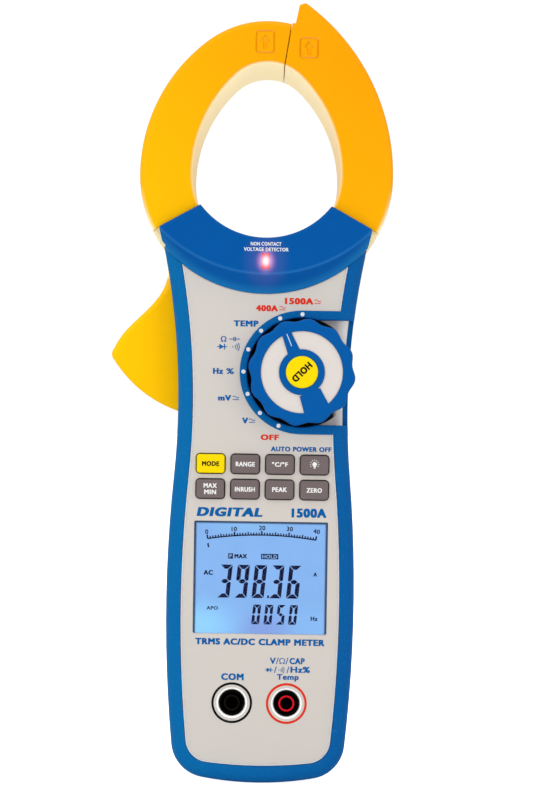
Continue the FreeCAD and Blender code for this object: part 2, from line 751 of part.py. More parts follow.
def trigger_face():
    tip_centre = (-54.6, 162.6)
    tip_radius = 3.4
    upper = Part.BSplineCurve()
    tip_top = polar(tip_centre, tip_radius, 135)
    tip_bottom = polar(tip_centre, tip_radius, 225)
    upper.interpolate([at(point) for point in (TRIGGER_ROOT, (-39.7, 185.8), (-44.9, 179.5), tip_top)])
    lower = Part.Arc(at(tip_bottom), at((-46.9, 149.0)), at(TRIGGER_HEEL)).toShape()
    edges = [
        upper.toShape(),
        arc(tip_centre, tip_radius, 135, 225),
        lower,
        line(TRIGGER_HEEL, (-27.5, 142.2)),
        line((-27.5, 142.2), (-20.0, 188.0)),
        line((-20.0, 188.0), (-20.0, 200.0)),
        line((-20.0, 200.0), TRIGGER_ROOT),
    ]
    return face_of(edges)


def trigger_blade(front, back):
    flat = BLADE_FRONT if front < JAW_PARTING - 1 else BLADE_BACK
    blade = prism(trigger_face(), front, back)
    return soften(blade, 2.0, lambda e: in_plane(e, flat) and e.BoundBox.XMin < -33)


def moving_jaw(front, back, root_front, root_back, blade_front, blade_back):
    pieces = [
        jaw_block(moving_full_face(), front, back),
        prism(moving_root_face(), root_front, root_back),
        prism(moving_neck_face(), root_front, root_back),
        trigger_blade(blade_front, blade_back),
    ]
    core_room = prism(moving_core_face(CLEARANCE), CORE_FRONT - CLEARANCE, CORE_BACK + CLEARANCE)
    bore = disc(PIVOT, SLEEVE_RADIUS + 0.02, ROOT_FRONT - 1, JAW_BACK + 1)
    return join(pieces).cut([core_room, bore])


def moving_neck_face():
    """Closes the narrow gap between the jaw's full part and its root."""
    loop = outer_egg().cut(inner_egg()).cut(disc_face(SADDLE_CENTRE, ROOT_CLEAR_RADIUS))
    band = above_collar(-1, 0.15).cut(above_collar(-1, 0.6))
    below = above_collar(-1, -0.6).cut(above_collar(-1, 0.25))
    return loop.common(band.fuse(below)).removeSplitter()


def moving_core_face(grow):
    ring = outer_egg(CORE_MARGIN - grow).cut(inner_egg(-CORE_MARGIN + grow))
    toward_pivot = direction((0.0, OPENING_Z), PIVOT)
    limit = polygon(
        [(0.0, OPENING_Z), polar((0.0, OPENING_Z), 90, toward_pivot), (-90, 150), (-90, 310)]
        + [split_point(310, -2.0 + grow), split_point(262, -2.0 + grow)]
    )
    return ring.common(limit).cut(disc_face(PIVOT, SLEEVE_RADIUS + 1.2 - grow))


def fixed_core_face(grow):
    ring = outer_egg(CORE_MARGIN - grow).cut(inner_egg(-CORE_MARGIN + grow))
    toward_pivot = direction((0.0, OPENING_Z), PIVOT)
    limit = polygon(
        [(0.0, OPENING_Z), polar((0.0, OPENING_Z), 90, toward_pivot), (90, 150), (90, 310)]
        + [split_point(310, 4.2 - grow), split_point(262, 4.2 - grow)]
    )
    return ring.common(limit).cut(disc_face(PIVOT, KNUCKLE_RADIUS + KNUCKLE_GAP + 2.0 - grow))


def jaw_core(face):
    return prism(face, CORE_FRONT, CORE_BACK)


def fixed_full_face():
    loop = arrow_face().cut(inner_egg())
    return loop.common(right_side(SPLIT_GAP)).common(above_collar(1, 0.1))


def fixed_root_face():
    ring = disc_face((0.0, OPENING_Z), JAW_HALF_WIDTH).cut(disc_face(SADDLE_CENTRE, ROOT_CLEAR_RADIUS))
    centre = (0.0, OPENING_Z)
    toward_pivot = direction(centre, PIVOT)
    limit = polygon([centre, polar(centre, 90, toward_pivot), (90, 150), (90, OPENING_Z)])
    sector = ring.common(limit).cut(above_collar(1, 0.2))
    return sector.cut(disc_face(PIVOT, KNUCKLE_RADIUS + KNUCKLE_GAP))


def fixed_neck_face():
    loop = outer_egg().cut(inner_egg()).cut(disc_face(SADDLE_CENTRE, ROOT_CLEAR_RADIUS))
    band = above_collar(1, -0.6).cut(above_collar(1, 0.6))
    return loop.common(band)


def fixed_jaw(front, back, root_front, root_back):
    pieces = [
        jaw_block(fixed_full_face(), front, back),
        prism(fixed_root_face(), root_front, root_back),
        prism(fixed_neck_face(), root_front, root_back),
    ]
    core_room = prism(fixed_core_face(CLEARANCE), CORE_FRONT - CLEARANCE, CORE_BACK + CLEARANCE)
    sensor_room = prism(sensor_face(CLEARANCE), CORE_FRONT - CLEARANCE, CORE_BACK + CLEARANCE)
    screws = [disc(point, 1.02, 1.5, JAW_BACK + 1) for point in jaw_screw_points()]
    return join(pieces).cut([core_room, sensor_room] + screws)


def sensor_face(grow):
    ring = outer_egg(CORE_MARGIN - grow).cut(inner_egg(-CORE_MARGIN + grow))
    low = split_point(262, 1.9 - grow)
    high = split_point(310, 1.9 - grow)
    slab = polygon([low, high, split_point(310, 3.9 + grow), split_point(262, 3.9 + grow)])
    return ring.common(slab)


def field_sensor():
    return prism(sensor_face(0.0), CORE_FRONT + 2, CORE_BACK - 2)


def pivot_pin():
    return disc(PIVOT, PIN_RADIUS - 0.01, -19.4, PANEL_BACK - 2.5)


def pivot_sleeve():
    return tube(PIVOT, SLEEVE_RADIUS, SLEEVE_BORE, ROOT_FRONT + 0.1, JAW_BACK - 0.1)


def coil(centre, front, coil_radius, wire_radius, pitch, turns, leg=0.0):
    """Helical spring wound round a line parallel to Y, with straight tangent legs if leg is not 0."""
    helix = Part.makeHelix(pitch, turns * pitch, coil_radius)
    heading = Vector(0, 2 * math.pi * coil_radius, pitch).normalize()
    start = Vector(coil_radius, 0, 0)
    path = list(helix.Edges)
    if leg:
        end = helix.Edges[-1].valueAt(helix.Edges[-1].LastParameter)
        path = [Part.makeLine(start - heading * leg, start)] + path
        path.append(Part.makeLine(end, end + heading * leg))
    profile = Part.Wire(Part.makeCircle(wire_radius, start - heading * leg, heading))
    spring = Part.Wire(path).makePipeShell([profile], True, True)
    spring.rotate(Vector(0, 0, 0), Vector(1, 0, 0), -90)
    spring.translate(at(centre, front))
    return spring


def jaw_spring():
    """Torsion spring behind the knuckle, with one leg for the jaw and one for the collar."""
    return coil(PIVOT, JAW_BACK + 0.75, 4.2, 0.4, 0.95, 3, 4.5)


def sensor_cable():
    return cord(
        [(2.0, -6.0, 181.2), (2.0, -8.2, 180.9), (2.0, -11.9, 179.6), (2.0, -12.2, 176.4)], 0.9
    )


# Dial.


def knob_face(inset):
    count = 8 * KNOB_WAVES
    points = []
    for step in range(count):
        angle = 360.0 * step / count
        wave = KNOB_WAVE * math.cos(math.radians(KNOB_WAVES * (angle - POINTER_ANGLE)))
        points.append(at(polar(DIAL, KNOB_RADIUS + wave - inset, angle)))
    curve = Part.BSplineCurve()
    curve.interpolate(Points=points, PeriodicFlag=True)
    return Part.Face(Part.Wire(curve.toShape()))


def spoke_face(angle, inner_width, outer_width):
    inner = polar(DIAL, 8.0, angle)
    outer = polar(DIAL, 16.0, angle)
    side = math.radians(angle + 90)
    across = (math.cos(side), math.sin(side))

    def beside(point, offset):
        return (point[0] + across[0] * offset, point[1] + across[1] * offset)

    return polygon(
        [beside(inner, inner_width / 2), beside(outer, outer_width / 2),
         beside(outer, -outer_width / 2), beside(inner, -inner_width / 2)]
    )


def knob_window_face(inset):
    ring = disc_face(DIAL, 15.25 - inset).cut(disc_face(DIAL, 8.4 + inset))
    pointer = spoke_face(POINTER_ANGLE, 4.6 + 2 * inset, 3.2 + 2 * inset)
    tail = spoke_face(POINTER_ANGLE + 180, 8.0 + 2 * inset, 9.8 + 2 * inset)
    return ring.cut([pointer, tail])


def knob():
    cap = prism(knob_face(0.0), KNOB_FRONT, KNOB_BACK)
    cap = soften(cap, 1.1, lambda edge: in_plane(edge, KNOB_FRONT))
    inside = disc(DIAL, 16.6, KNOB_FRONT + 1.8, KNOB_BACK + 1)
    cap = cap.cut([inside, prism(knob_window_face(0.0), KNOB_FRONT - 1, KNOB_FRONT + 3)])
    hub = disc(DIAL, 7.9, KNOB_FRONT + 1.7, KNOB_BACK)
    shaft = disc(DIAL, SHAFT_RADIUS, KNOB_BACK - 0.1, BOARD_FRONT - 0.3)
    web = tube(DIAL, 14.2, 7.0, KNOB_BACK - 1.4, KNOB_BACK)
    pockets = [disc(point, 1.9, KNOB_BACK - 6, KNOB_BACK) for point in detent_points()]
    body = join([cap, hub, shaft, web] + pockets)
    holes = [disc(DIAL, BUTTON_RADIUS + 0.06, KNOB_FRONT - 1, KNOB_FRONT + 5.2)]
    holes.append(disc(DIAL, PLUNGER_RADIUS + 0.06, KNOB_FRONT, 0.0))
    holes += [disc(point, 1.1, KNOB_BACK - 5, KNOB_BACK + 0.5) for point in detent_points()]
    return body.cut(holes)


def detent_points():
    return [polar(DIAL, 12.0, angle) for angle in (22.5, 202.5)]


def knob_inlay():
    plate = tube(DIAL, 16.5, 8.0, KNOB_FRONT + 1.85, KNOB_FRONT + 3.0)
    pads = prism(knob_window_face(0.06), KNOB_FRONT + 0.45, KNOB_FRONT + 2)
    return join([plate, pads])


def detent_balls():
    return Part.makeCompound(
        [Part.makeSphere(1.0, at(point, WELL_FLOOR - 0.32)) for point in detent_points()]
    )


def detent_springs():
    return Part.makeCompound(
        [coil(point, KNOB_BACK - 4.7, 0.8, 0.2, 0.62, 5.5) for point in detent_points()]
    )


def switch_rotor():
    plate = tube(DIAL, 13.0, SHAFT_RADIUS + 0.02, WELL_FLOOR + 1.9, BOARD_FRONT - 0.7)
    return plate.cut([box((DIAL[0] - 0.6, DIAL[0] + 0.6), (-13, -10), (DIAL[1] + 12, DIAL[1] + 14))])


def wiper_contacts():
    wipers = []
    for angle in (30, 150, 270):
        x, z = polar(DIAL, 9.5, angle)
        wipers.append(box((x - 2.0, x + 2.0), (BOARD_FRONT - 0.68, BOARD_FRONT - 0.08), (z - 0.8, z + 0.8)))
    return Part.makeCompound(wipers)


def hold_button():
    cap = disc(DIAL, BUTTON_RADIUS, BUTTON_FRONT, BUTTON_BACK)
    return soften(cap, 0.6, lambda edge: in_plane(edge, BUTTON_FRONT))


def hold_plunger():
    return disc(DIAL, PLUNGER_RADIUS, BUTTON_BACK, BOARD_FRONT - 2.0)


def hold_spring():
    return coil(DIAL, KNOB_FRONT + 2.65, 3.4, 0.3, 0.95, 2)


# Keys.


def key(column, row):
    centre = key_centre(column, row)
    cap = prism(rounded_face(centre, KEY_WIDTH, KEY_HEIGHT, 1.1), KEY_FRONT, KEY_FLANGE_FRONT + 0.5)
    cap = soften(cap, 0.55, lambda edge: in_plane(edge, KEY_FRONT))
    foot = rounded_face(centre, KEY_WIDTH + 1.2, KEY_HEIGHT + 1.4, 1.4)
    flange = prism(foot, KEY_FLANGE_FRONT, KEY_FLANGE_BACK)
    stem = disc(centre, 1.6, KEY_FLANGE_BACK - 0.1, BOARD_FRONT - 1.9)
    return join([cap, flange, stem])


def keypad_mat():
    centre = (KEY_CENTRE_X, sum(KEY_ROW_Z) / 2)
    sheet = prism(rounded_face(centre, 50.0, 18.4, 1.5), BOARD_FRONT - 0.5, BOARD_FRONT - 0.02)
    domes = [disc(point, 2.6, BOARD_FRONT - 0.8, BOARD_FRONT - 0.4) for point in key_centres()]
    return join([sheet] + domes)


# Display.


def display_window():
    shoulder = WINDOW_BACK - 1.05
    outline = rounded_face(WINDOW, WINDOW_WIDTH - 0.2, WINDOW_HEIGHT - 0.2, 0.5)
    step = prism(outline, WINDOW_FRONT, shoulder + 0.15)
    plate = prism(rounded_face(WINDOW, 52.6, 45.0, 1.0), shoulder, WINDOW_BACK)
    return join([step, plate])


def display_glass():
    return prism(rounded_face(WINDOW, 51.4, 44.0, 0.3), GLASS_FRONT, GLASS_BACK)


def backlight_panel():
    return prism(rounded_face(WINDOW, 50.0, 37.0, 0.3), GLASS_BACK + 0.1, GLASS_BACK + 2.0)


def display_frame():
    outer = prism(rounded_face(WINDOW, 54.0, 47.6, 1.5), GLASS_FRONT - 0.05, BOARD_FRONT - 0.05)
    inner = prism(rounded_face(WINDOW, 51.8, 44.2, 0.4), GLASS_FRONT - 1, BOARD_FRONT + 1)
    return outer.cut(inner)


def elastomer_strips():
    depth = (GLASS_BACK + 0.05, BOARD_FRONT - 0.05)
    strips = []
    for side in (-1, 1):
        middle = WINDOW[1] + side * 20.3
        strips.append(box((WINDOW[0] - 23, WINDOW[0] + 23), depth, (middle - 0.9, middle + 0.9)))
    return Part.makeCompound(strips)


# Electronics.


def main_board():
    low_z = 12.0
    high_z = 178.0
    outline = body_face(5.0).common(polygon([(-40, low_z), (40, low_z), (40, high_z), (-40, high_z)]))
    board = prism(outline, BOARD_FRONT, BOARD_BACK)
    holes = [disc(point, 3.3, -12, -6) for point in CASE_SCREWS]
    holes += [disc(point, 6.6, -12, -6) for point in socket_centres()]
    return board.cut(holes)


def board_components():
    back = BOARD_BACK
    front = BOARD_FRONT
    parts = [
        box((-9, 5), (back, back + 1.6), (118, 132)),
        box((10, 17), (back, back + 1.4), (116, 122)),
        box((-24, -16), (back, back + 1.4), (60, 66)),
        disc((22, 112), 3.2, back, back + 5.5),
        disc((22, 104), 2.6, back, back + 5.5),
        box((19, 27), (back, back + 3.2), (60, 72)),
        box((DIAL[0] - 1.3, DIAL[0] + 1.3), (front - 0.7, front), (DIAL[1] - 1.3, DIAL[1] + 1.3)),
        box((-1.0, 5.0), (front - 1.0, front), (174.2, 176.2)),
    ]
    return Part.makeCompound(parts)


def buzzer():
    can = disc((-20.0, 78.0), 5.0, BOARD_BACK, BOARD_BACK + 5.5)
    return can.cut(disc((-20.0, 78.0), 0.9, BOARD_BACK + 4.5, BOARD_BACK + 6))


def socket_body(centre):
    shroud = disc(centre, SOCKET_RADIUS, PANEL_FRONT + 0.15, 7.0)
    flange = disc(centre, 6.2, -16.5, -14.0)
    body = join([shroud, flange, disc(centre, 5.6, -14.5, 7.0)])
    well = tube(centre, 4.1, 3.0, PANEL_FRONT - 1, 3.0)
    return body.cut([well, disc(centre, PLUG_BORE, PANEL_FRONT - 1, 6.0)])


def socket_contact(centre):
    body = disc(centre, PLUG_BORE - 0.02, CONTACT_FRONT, 5.9)
    return body.cut(disc(centre, CONTACT_BORE, PANEL_FRONT, 4.5))


def battery():
    block = box((-13.2, 13.2), (1.8, 18.4), (43.0, 90.4))
    return block.makeFillet(1.6, [edge for edge in block.Edges if edge.Length > 40])


def battery_terminals():
    small = disc_up((-6.4, 10.1), 2.8, 90.4, 92.8)
    large = disc_up((6.4, 10.1), 3.9, 90.4, 92.8)
    return Part.makeCompound([small, large])


def disc_up(centre, radius, low, high):
    return Part.makeCylinder(radius, high - low, Vector(centre[0], centre[1], low))


def battery_snap():
    block = box((-13.0, 13.0), (4.0, 16.2), (90.9, 96.4))
    sockets = [disc_up((-6.4, 10.1), 2.85, 90, 92.9), disc_up((6.4, 10.1), 3.95, 90, 92.9)]
    return block.cut(sockets)


def battery_leads():
    leads = [
        cord([(x, 4.6, 96.5), (x, 4.6, 99.5), (x, 4.0, 103.0), (x, 1.4, 108.6), (x, -7.9, 109.5)], 0.6)
        for x in (-2.2, 2.2)
    ]
    return Part.makeCompound(leads)


# Assembly.


def pieces():
    seal = case_seal()
    left_socket, right_socket = socket_centres()
    nodes = {
        "front_casing": front_casing().cut(seal),
        "front_overmould": front_overmould(),
        "dial_dots": dial_dots(),
        "front_collar": front_collar(),
        "rear_casing": rear_casing().cut(seal),
        "rear_overmould": rear_overmould(),
        "rear_collar": rear_collar(),
        "case_seal": seal,
        "case_screws": case_screws(),
        "jaw_mount_screws": jaw_mount_screws(),
        "battery_door": battery_door(),
        "battery_door_screws": battery_door_screws(),
        "indicator_lens": indicator_lens(),
        "indicator_lamp": indicator_lamp(),
        "sensor_board": sensor_board(),
        "sensor_cable": sensor_cable(),
        "moving_jaw_front_shell": moving_jaw(
            JAW_FRONT, JAW_PARTING, ROOT_FRONT, JAW_PARTING, BLADE_FRONT, JAW_PARTING
        ).cut(mark_frame((-1.2, 279.5), 7.1, 8.6)),
        "moving_jaw_rear_shell": moving_jaw(
            JAW_PARTING, JAW_BACK, JAW_PARTING, JAW_BACK, JAW_PARTING, BLADE_BACK
        ),
        "moving_jaw_core": jaw_core(moving_core_face(0.0)),
        "fixed_jaw_front_shell": fixed_jaw(JAW_FRONT, JAW_PARTING, ROOT_FRONT, JAW_PARTING).cut(
            mark_frame((15.2, 277.4), 7.1, 7.8)
        ),
        "fixed_jaw_rear_shell": fixed_jaw(JAW_PARTING, JAW_BACK, JAW_PARTING, JAW_BACK),
        "fixed_jaw_core": jaw_core(fixed_core_face(0.0)),
        "field_sensor": field_sensor(),
        "pivot_pin": pivot_pin(),
        "pivot_sleeve": pivot_sleeve(),
        "jaw_spring": jaw_spring(),
        "knob": knob(),
        "knob_inlay": knob_inlay(),
        "detent_balls": detent_balls(),
        "detent_springs": detent_springs(),
        "switch_rotor": switch_rotor(),
        "wiper_contacts": wiper_contacts(),
        "hold_button": hold_button(),
        "hold_plunger": hold_plunger(),
        "hold_spring": hold_spring(),
        "keypad_mat": keypad_mat(),
        "display_window": display_window(),
        "display_glass": display_glass(),
        "display_frame": display_frame(),
        "backlight_panel": backlight_panel(),
        "elastomer_strips": elastomer_strips(),
        "main_board": main_board(),
        "board_components": board_components(),
        "buzzer": buzzer(),
        "com_socket_body": socket_body(left_socket),
        "com_contact": socket_contact(left_socket),
        "volt_socket_body": socket_body(right_socket),
        "volt_contact": socket_contact(right_socket),
        "battery": battery(),
        "battery_terminals": battery_terminals(),
        "battery_snap": battery_snap(),
        "battery_leads": battery_leads(),
    }
    for row, names in enumerate(KEY_NAMES):
        for column, name in enumerate(names):
            nodes[name] = key(column, row)
    return nodes


def export():
    os.makedirs("parts", exist_ok=True)
    for name, shape in pieces().items():
        placed = shape.copy()
        placed.translate(Vector(0, 0, -OPENING_Z))
        placed.exportStep(f"parts/{name}.step")
        print(name, placed.ShapeType, len(placed.Solids), placed.isValid(), round(placed.Volume, 1))


export()
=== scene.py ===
import math

import bmesh
import bpy
from mathutils import Matrix, Vector


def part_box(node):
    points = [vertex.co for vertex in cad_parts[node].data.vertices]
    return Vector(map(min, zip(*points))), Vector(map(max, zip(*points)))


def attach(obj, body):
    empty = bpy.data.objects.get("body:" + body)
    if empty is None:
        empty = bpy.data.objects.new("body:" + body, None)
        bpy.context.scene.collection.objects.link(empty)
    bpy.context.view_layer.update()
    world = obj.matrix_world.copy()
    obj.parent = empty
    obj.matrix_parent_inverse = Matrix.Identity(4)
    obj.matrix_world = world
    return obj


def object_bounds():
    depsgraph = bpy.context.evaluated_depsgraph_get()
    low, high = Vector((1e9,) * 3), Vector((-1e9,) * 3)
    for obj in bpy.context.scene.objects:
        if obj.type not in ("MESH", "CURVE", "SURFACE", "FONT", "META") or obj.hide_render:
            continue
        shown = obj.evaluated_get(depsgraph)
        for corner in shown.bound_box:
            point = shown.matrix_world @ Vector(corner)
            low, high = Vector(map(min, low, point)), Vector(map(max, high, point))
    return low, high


# Looks of the clamp meter. Sizes and places are in millimetres in the row frame, where X is to the
# right, Z is up and the display faces -Y, and they are turned into metres when a mesh is made.

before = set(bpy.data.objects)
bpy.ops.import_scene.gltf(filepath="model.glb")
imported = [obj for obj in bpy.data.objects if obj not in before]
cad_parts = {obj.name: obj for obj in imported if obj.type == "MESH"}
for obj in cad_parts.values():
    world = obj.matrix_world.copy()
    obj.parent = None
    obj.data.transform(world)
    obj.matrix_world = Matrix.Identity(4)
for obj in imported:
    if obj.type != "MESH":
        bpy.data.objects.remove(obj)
cad_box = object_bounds()
MM = 0.001


def box_of(node):
    low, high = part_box(node)
    return low / MM, high / MM


def centre_of(node):
    low, high = box_of(node)
    middle = (low + high) / 2
    return middle.x, middle.z


def front_of(node):
    return box_of(node)[0].y


PANEL_FRONT = front_of("front_casing")
COLLAR_FRONT = front_of("front_collar")
DIAL = centre_of("hold_button")
WINDOW = centre_of("display_window")
COM = centre_of("com_socket_body")
VOLT = centre_of("volt_socket_body")
LAMP = centre_of("indicator_lens")
WINDOW_WIDTH = 49.9
WINDOW_HEIGHT = 42.0

# Printing: how far ink stands out and sinks in, and how far apart the fronts of six strokes lie.
INK_THICKNESS = 0.05
INK_SUNK = 0.02
STROKE_STEP = 0.006
STROKE_STEPS = 6

# Weights of the lettering, in shares of the letter size.
EXTRA_BOLD = 0.062
BOLD = 0.055
MEDIUM = 0.045
LIGHT = 0.03
FINE = 0.01
PLAIN = 0.0


def srgb(red, green, blue):
    """Linear colour of a 0 to 255 sRGB colour."""

    def linear(value):
        share = value / 255
        return share / 12.92 if share <= 0.04045 else ((share + 0.055) / 1.055) ** 2.4

    return (linear(red), linear(green), linear(blue), 1.0)


def scaled(colour, factor):
    return tuple(min(1.0, part * factor) for part in colour[:3]) + (1.0,)


PALE = srgb(252, 250, 247)
PANEL = srgb(214, 208, 201)
BLUE = srgb(0, 107, 172)
COLLAR_BLUE = srgb(0, 86, 163)
ORANGE = srgb(255, 163, 0)
YELLOW = srgb(255, 222, 0)
KEY_GREY = srgb(118, 105, 105)
INLAY = srgb(226, 218, 212)
BLACK = srgb(14, 14, 15)
RED = srgb(226, 52, 28)
PRINT_BLUE = srgb(0, 97, 168)
LCD_DARK = srgb(0, 10, 60)


# Materials.


class Shader:
    """One node material. Its noise and masks are placed in millimetres in the row frame."""

    def __init__(self, name):
        self.material = bpy.data.materials.new(name)
        self.material.use_nodes = True
        self.tree = self.material.node_tree
        self.tree.nodes.clear()
        self.output = self.node("OutputMaterial")
        place = self.node("TexCoord").outputs["Object"]
        self.place = self.vector("SCALE", place, scale=1 / MM)
        self.normal = self.node("NewGeometry").outputs["Normal"]

    def feed(self, socket, value):
        if isinstance(value, bpy.types.NodeSocket):
            self.tree.links.new(value, socket)
        else:
            socket.default_value = value

    def node(self, kind, **inputs):
        made = self.tree.nodes.new("ShaderNode" + kind)
        for name, value in inputs.items():
            self.feed(made.inputs[name.replace("_", " ")], value)
        return made

    def math(self, operation, *values, clamp=False):
        made = self.node("Math")
        made.operation = operation
        made.use_clamp = clamp
        for socket, value in zip(made.inputs, values):
            self.feed(socket, value)
        return made.outputs[0]

    def vector(self, operation, *values, scale=None):
        made = self.node("VectorMath")
        made.operation = operation
        for socket, value in zip(made.inputs, values):
            self.feed(socket, value)
        if scale is not None:
            made.inputs["Scale"].default_value = scale
        return made.outputs["Value" if operation in ("DOT_PRODUCT", "LENGTH") else "Vector"]

    def axes(self, vector):
        return self.node("SeparateXYZ", Vector=vector).outputs

    def mix(self, first, second, share):
        made = self.node("Mix")
        made.data_type = "RGBA"
        self.feed(made.inputs[0], share)
        self.feed(made.inputs[6], first)
        self.feed(made.inputs[7], second)
        return made.outputs[2]

    def ramp(self, value, low, high, first=0.0, last=1.0, smooth=False):
        made = self.node("MapRange", Value=value)
        made.interpolation_type = "SMOOTHSTEP" if smooth else "LINEAR"
        for index, number in zip((1, 2, 3, 4), (low, high, first, last)):
            self.feed(made.inputs[index], number)
        return made.outputs[0]

    def noise(self, size, detail=2.0, stretch=None):
        place = self.place
        if stretch:
            place = self.vector("MULTIPLY", place, stretch)
        made = self.node("TexNoise", Vector=place, Scale=1 / size, Detail=detail)
        return made.outputs[0]

    def distance(self, point, stretch=(1.0, 1.0)):
        """Distance in millimetres from a point, seen from the front."""
        offset = self.vector("SUBTRACT", self.place, (point[0], 0.0, point[1]))
        flat = self.vector("MULTIPLY", offset, (stretch[0], 0.0, stretch[1]))
        return self.vector("LENGTH", flat)

    def rounded(self, radius):
        made = self.node("Bevel", Radius=radius * MM)
        made.samples = 4
        return made.outputs[0]

    def bumped(self, height, depth, normal):
        return self.node("Bump", Strength=1.0, Distance=depth * MM, Height=height, Normal=normal).outputs[0]

    def surface(self, shader):
        self.feed(self.output.inputs["Surface"], shader)
        return self.material


def plastic(name, colour, roughness=0.42, grain=0.35, depth=0.012, edge=0.3, round_off=0.25,
            specular=0.4, tint=0.05, paint=None, glow=None):
    """Moulded plastic: faint flow marks in the colour, grained skin, and paler rounded edges, partly wear
    and partly a painted highlight.
    """
    s = Shader(name)
    flow = s.noise(22.0, 3.0)
    speck = s.noise(grain * 1.7, 1.0)
    base = s.mix(scaled(colour, 1 - tint), scaled(colour, 1 + tint), flow)
    base = s.mix(base, scaled(colour, 1 - 2 * tint), s.ramp(speck, 0.55, 0.75, 0.0, 0.35))
    if paint:
        base = paint(s, base)
    soft = s.rounded(round_off)
    # Paler rounded edges: partly wear, partly a painted highlight.
    turned = s.math("SUBTRACT", 1.0, s.vector("DOT_PRODUCT", s.normal, soft))
    edge_wear_and_highlight = s.math("MULTIPLY", s.ramp(turned, 0.01, 0.12), edge)
    base = s.mix(base, scaled(colour, 1.5), edge_wear_and_highlight)
    shine = s.ramp(s.noise(6.0, 4.0), 0.3, 0.7, roughness - 0.05, roughness + 0.06)
    skin = s.bumped(s.noise(grain, 2.0), depth, soft)
    made = s.node("BsdfPrincipled", Base_Color=base, Roughness=shine, Normal=skin)
    made.inputs["Specular IOR Level"].default_value = specular
    if glow:
        colour_socket, strength = glow(s)
        s.feed(made.inputs["Emission Color"], colour_socket)
        s.feed(made.inputs["Emission Strength"], strength)
    return s.surface(made.outputs[0])


def metal(name, colour, roughness=0.3, brush=(1.0, 12.0, 1.0)):
    """Bare metal with fine marks along one direction and slightly dull patches."""
    s = Shader(name)
    marks = s.noise(0.5, 3.0, brush)
    base = s.mix(scaled(colour, 0.82), colour, marks)
    base = s.mix(base, scaled(colour, 0.6), s.ramp(s.noise(2.5), 0.6, 0.8, 0.0, 0.4))
    shine = s.ramp(marks, 0.3, 0.7, roughness - 0.08, roughness + 0.12)
    skin = s.bumped(marks, 0.01, s.rounded(0.08))
    made = s.node("BsdfPrincipled", Base_Color=base, Metallic=1.0, Roughness=shine, Normal=skin)
    return s.surface(made.outputs[0])


def ink(name, colour, roughness=0.5):
    """Pad-printed ink: a little uneven in tone and height."""
    s = Shader(name)
    cover = s.noise(0.4, 2.0)
    base = s.mix(scaled(colour, 0.9), scaled(colour, 1.06), cover)
    shine = s.ramp(cover, 0, 1, roughness - 0.08, roughness + 0.08)
    made = s.node("BsdfPrincipled", Base_Color=base, Roughness=shine)
    s.feed(made.inputs["Normal"], s.bumped(cover, 0.01, s.normal))
    made.inputs["Specular IOR Level"].default_value = 0.08
    return s.surface(made.outputs[0])


def front_half(s):
    """One in front of the plane where the casing halves meet, and zero behind it."""
    return s.ramp(s.axes(s.place)[1], -1.0, -3.0)


def dial_gap(s):
    """Where shade darkens the narrow gap round the knob, on all sides but the right."""
    ring = s.ramp(s.distance(DIAL), 20.9, 20.6)
    left = s.ramp(s.axes(s.place)[0], DIAL[0] + 13.5, DIAL[0] + 12.0)
    deep = s.ramp(s.axes(s.place)[1], PANEL_FRONT + 0.3, PANEL_FRONT + 0.6)
    return s.math("MULTIPLY", s.math("MULTIPLY", ring, left), deep)


def key_gap_shade(s):
    """Painted shade: a dark line, as wide as the gap looks, round each of the eight keys."""
    corner = 1.3
    flange = 0.6, 0.7
    first = centre_of("key_mode")
    second = centre_of("key_range")
    last = centre_of("key_zero")
    pitch = second[0] - first[0]
    place = s.axes(s.place)
    along = s.math("SUBTRACT", place[0], first[0] - pitch / 2)
    across = s.math("ABSOLUTE", s.math("SUBTRACT", s.math("MODULO", along, pitch), pitch / 2))
    middle = (first[1] + last[1]) / 2
    row = (first[1] - last[1]) / 2
    from_middle = s.math("ABSOLUTE", s.math("SUBTRACT", place[2], middle))
    upright = s.math("ABSOLUTE", s.math("SUBTRACT", from_middle, row))
    low, high = box_of("key_mode")
    half_width = (high.x - low.x) / 2 - flange[0] - corner
    half_height = (high.z - low.z) / 2 - flange[1] - corner
    past_side = s.math("MAXIMUM", s.math("SUBTRACT", across, half_width), 0.0)
    past_top = s.math("MAXIMUM", s.math("SUBTRACT", upright, half_height), 0.0)
    reach = s.math("SQRT", s.math("ADD", s.math("POWER", past_side, 2.0), s.math("POWER", past_top, 2.0)))
    close = s.ramp(reach, corner + 0.5, corner + 0.36)
    inside = s.math("LESS_THAN", s.math("ABSOLUTE", s.math("SUBTRACT", along, 2 * pitch)), 2 * pitch)
    return s.math("MULTIPLY", close, inside)


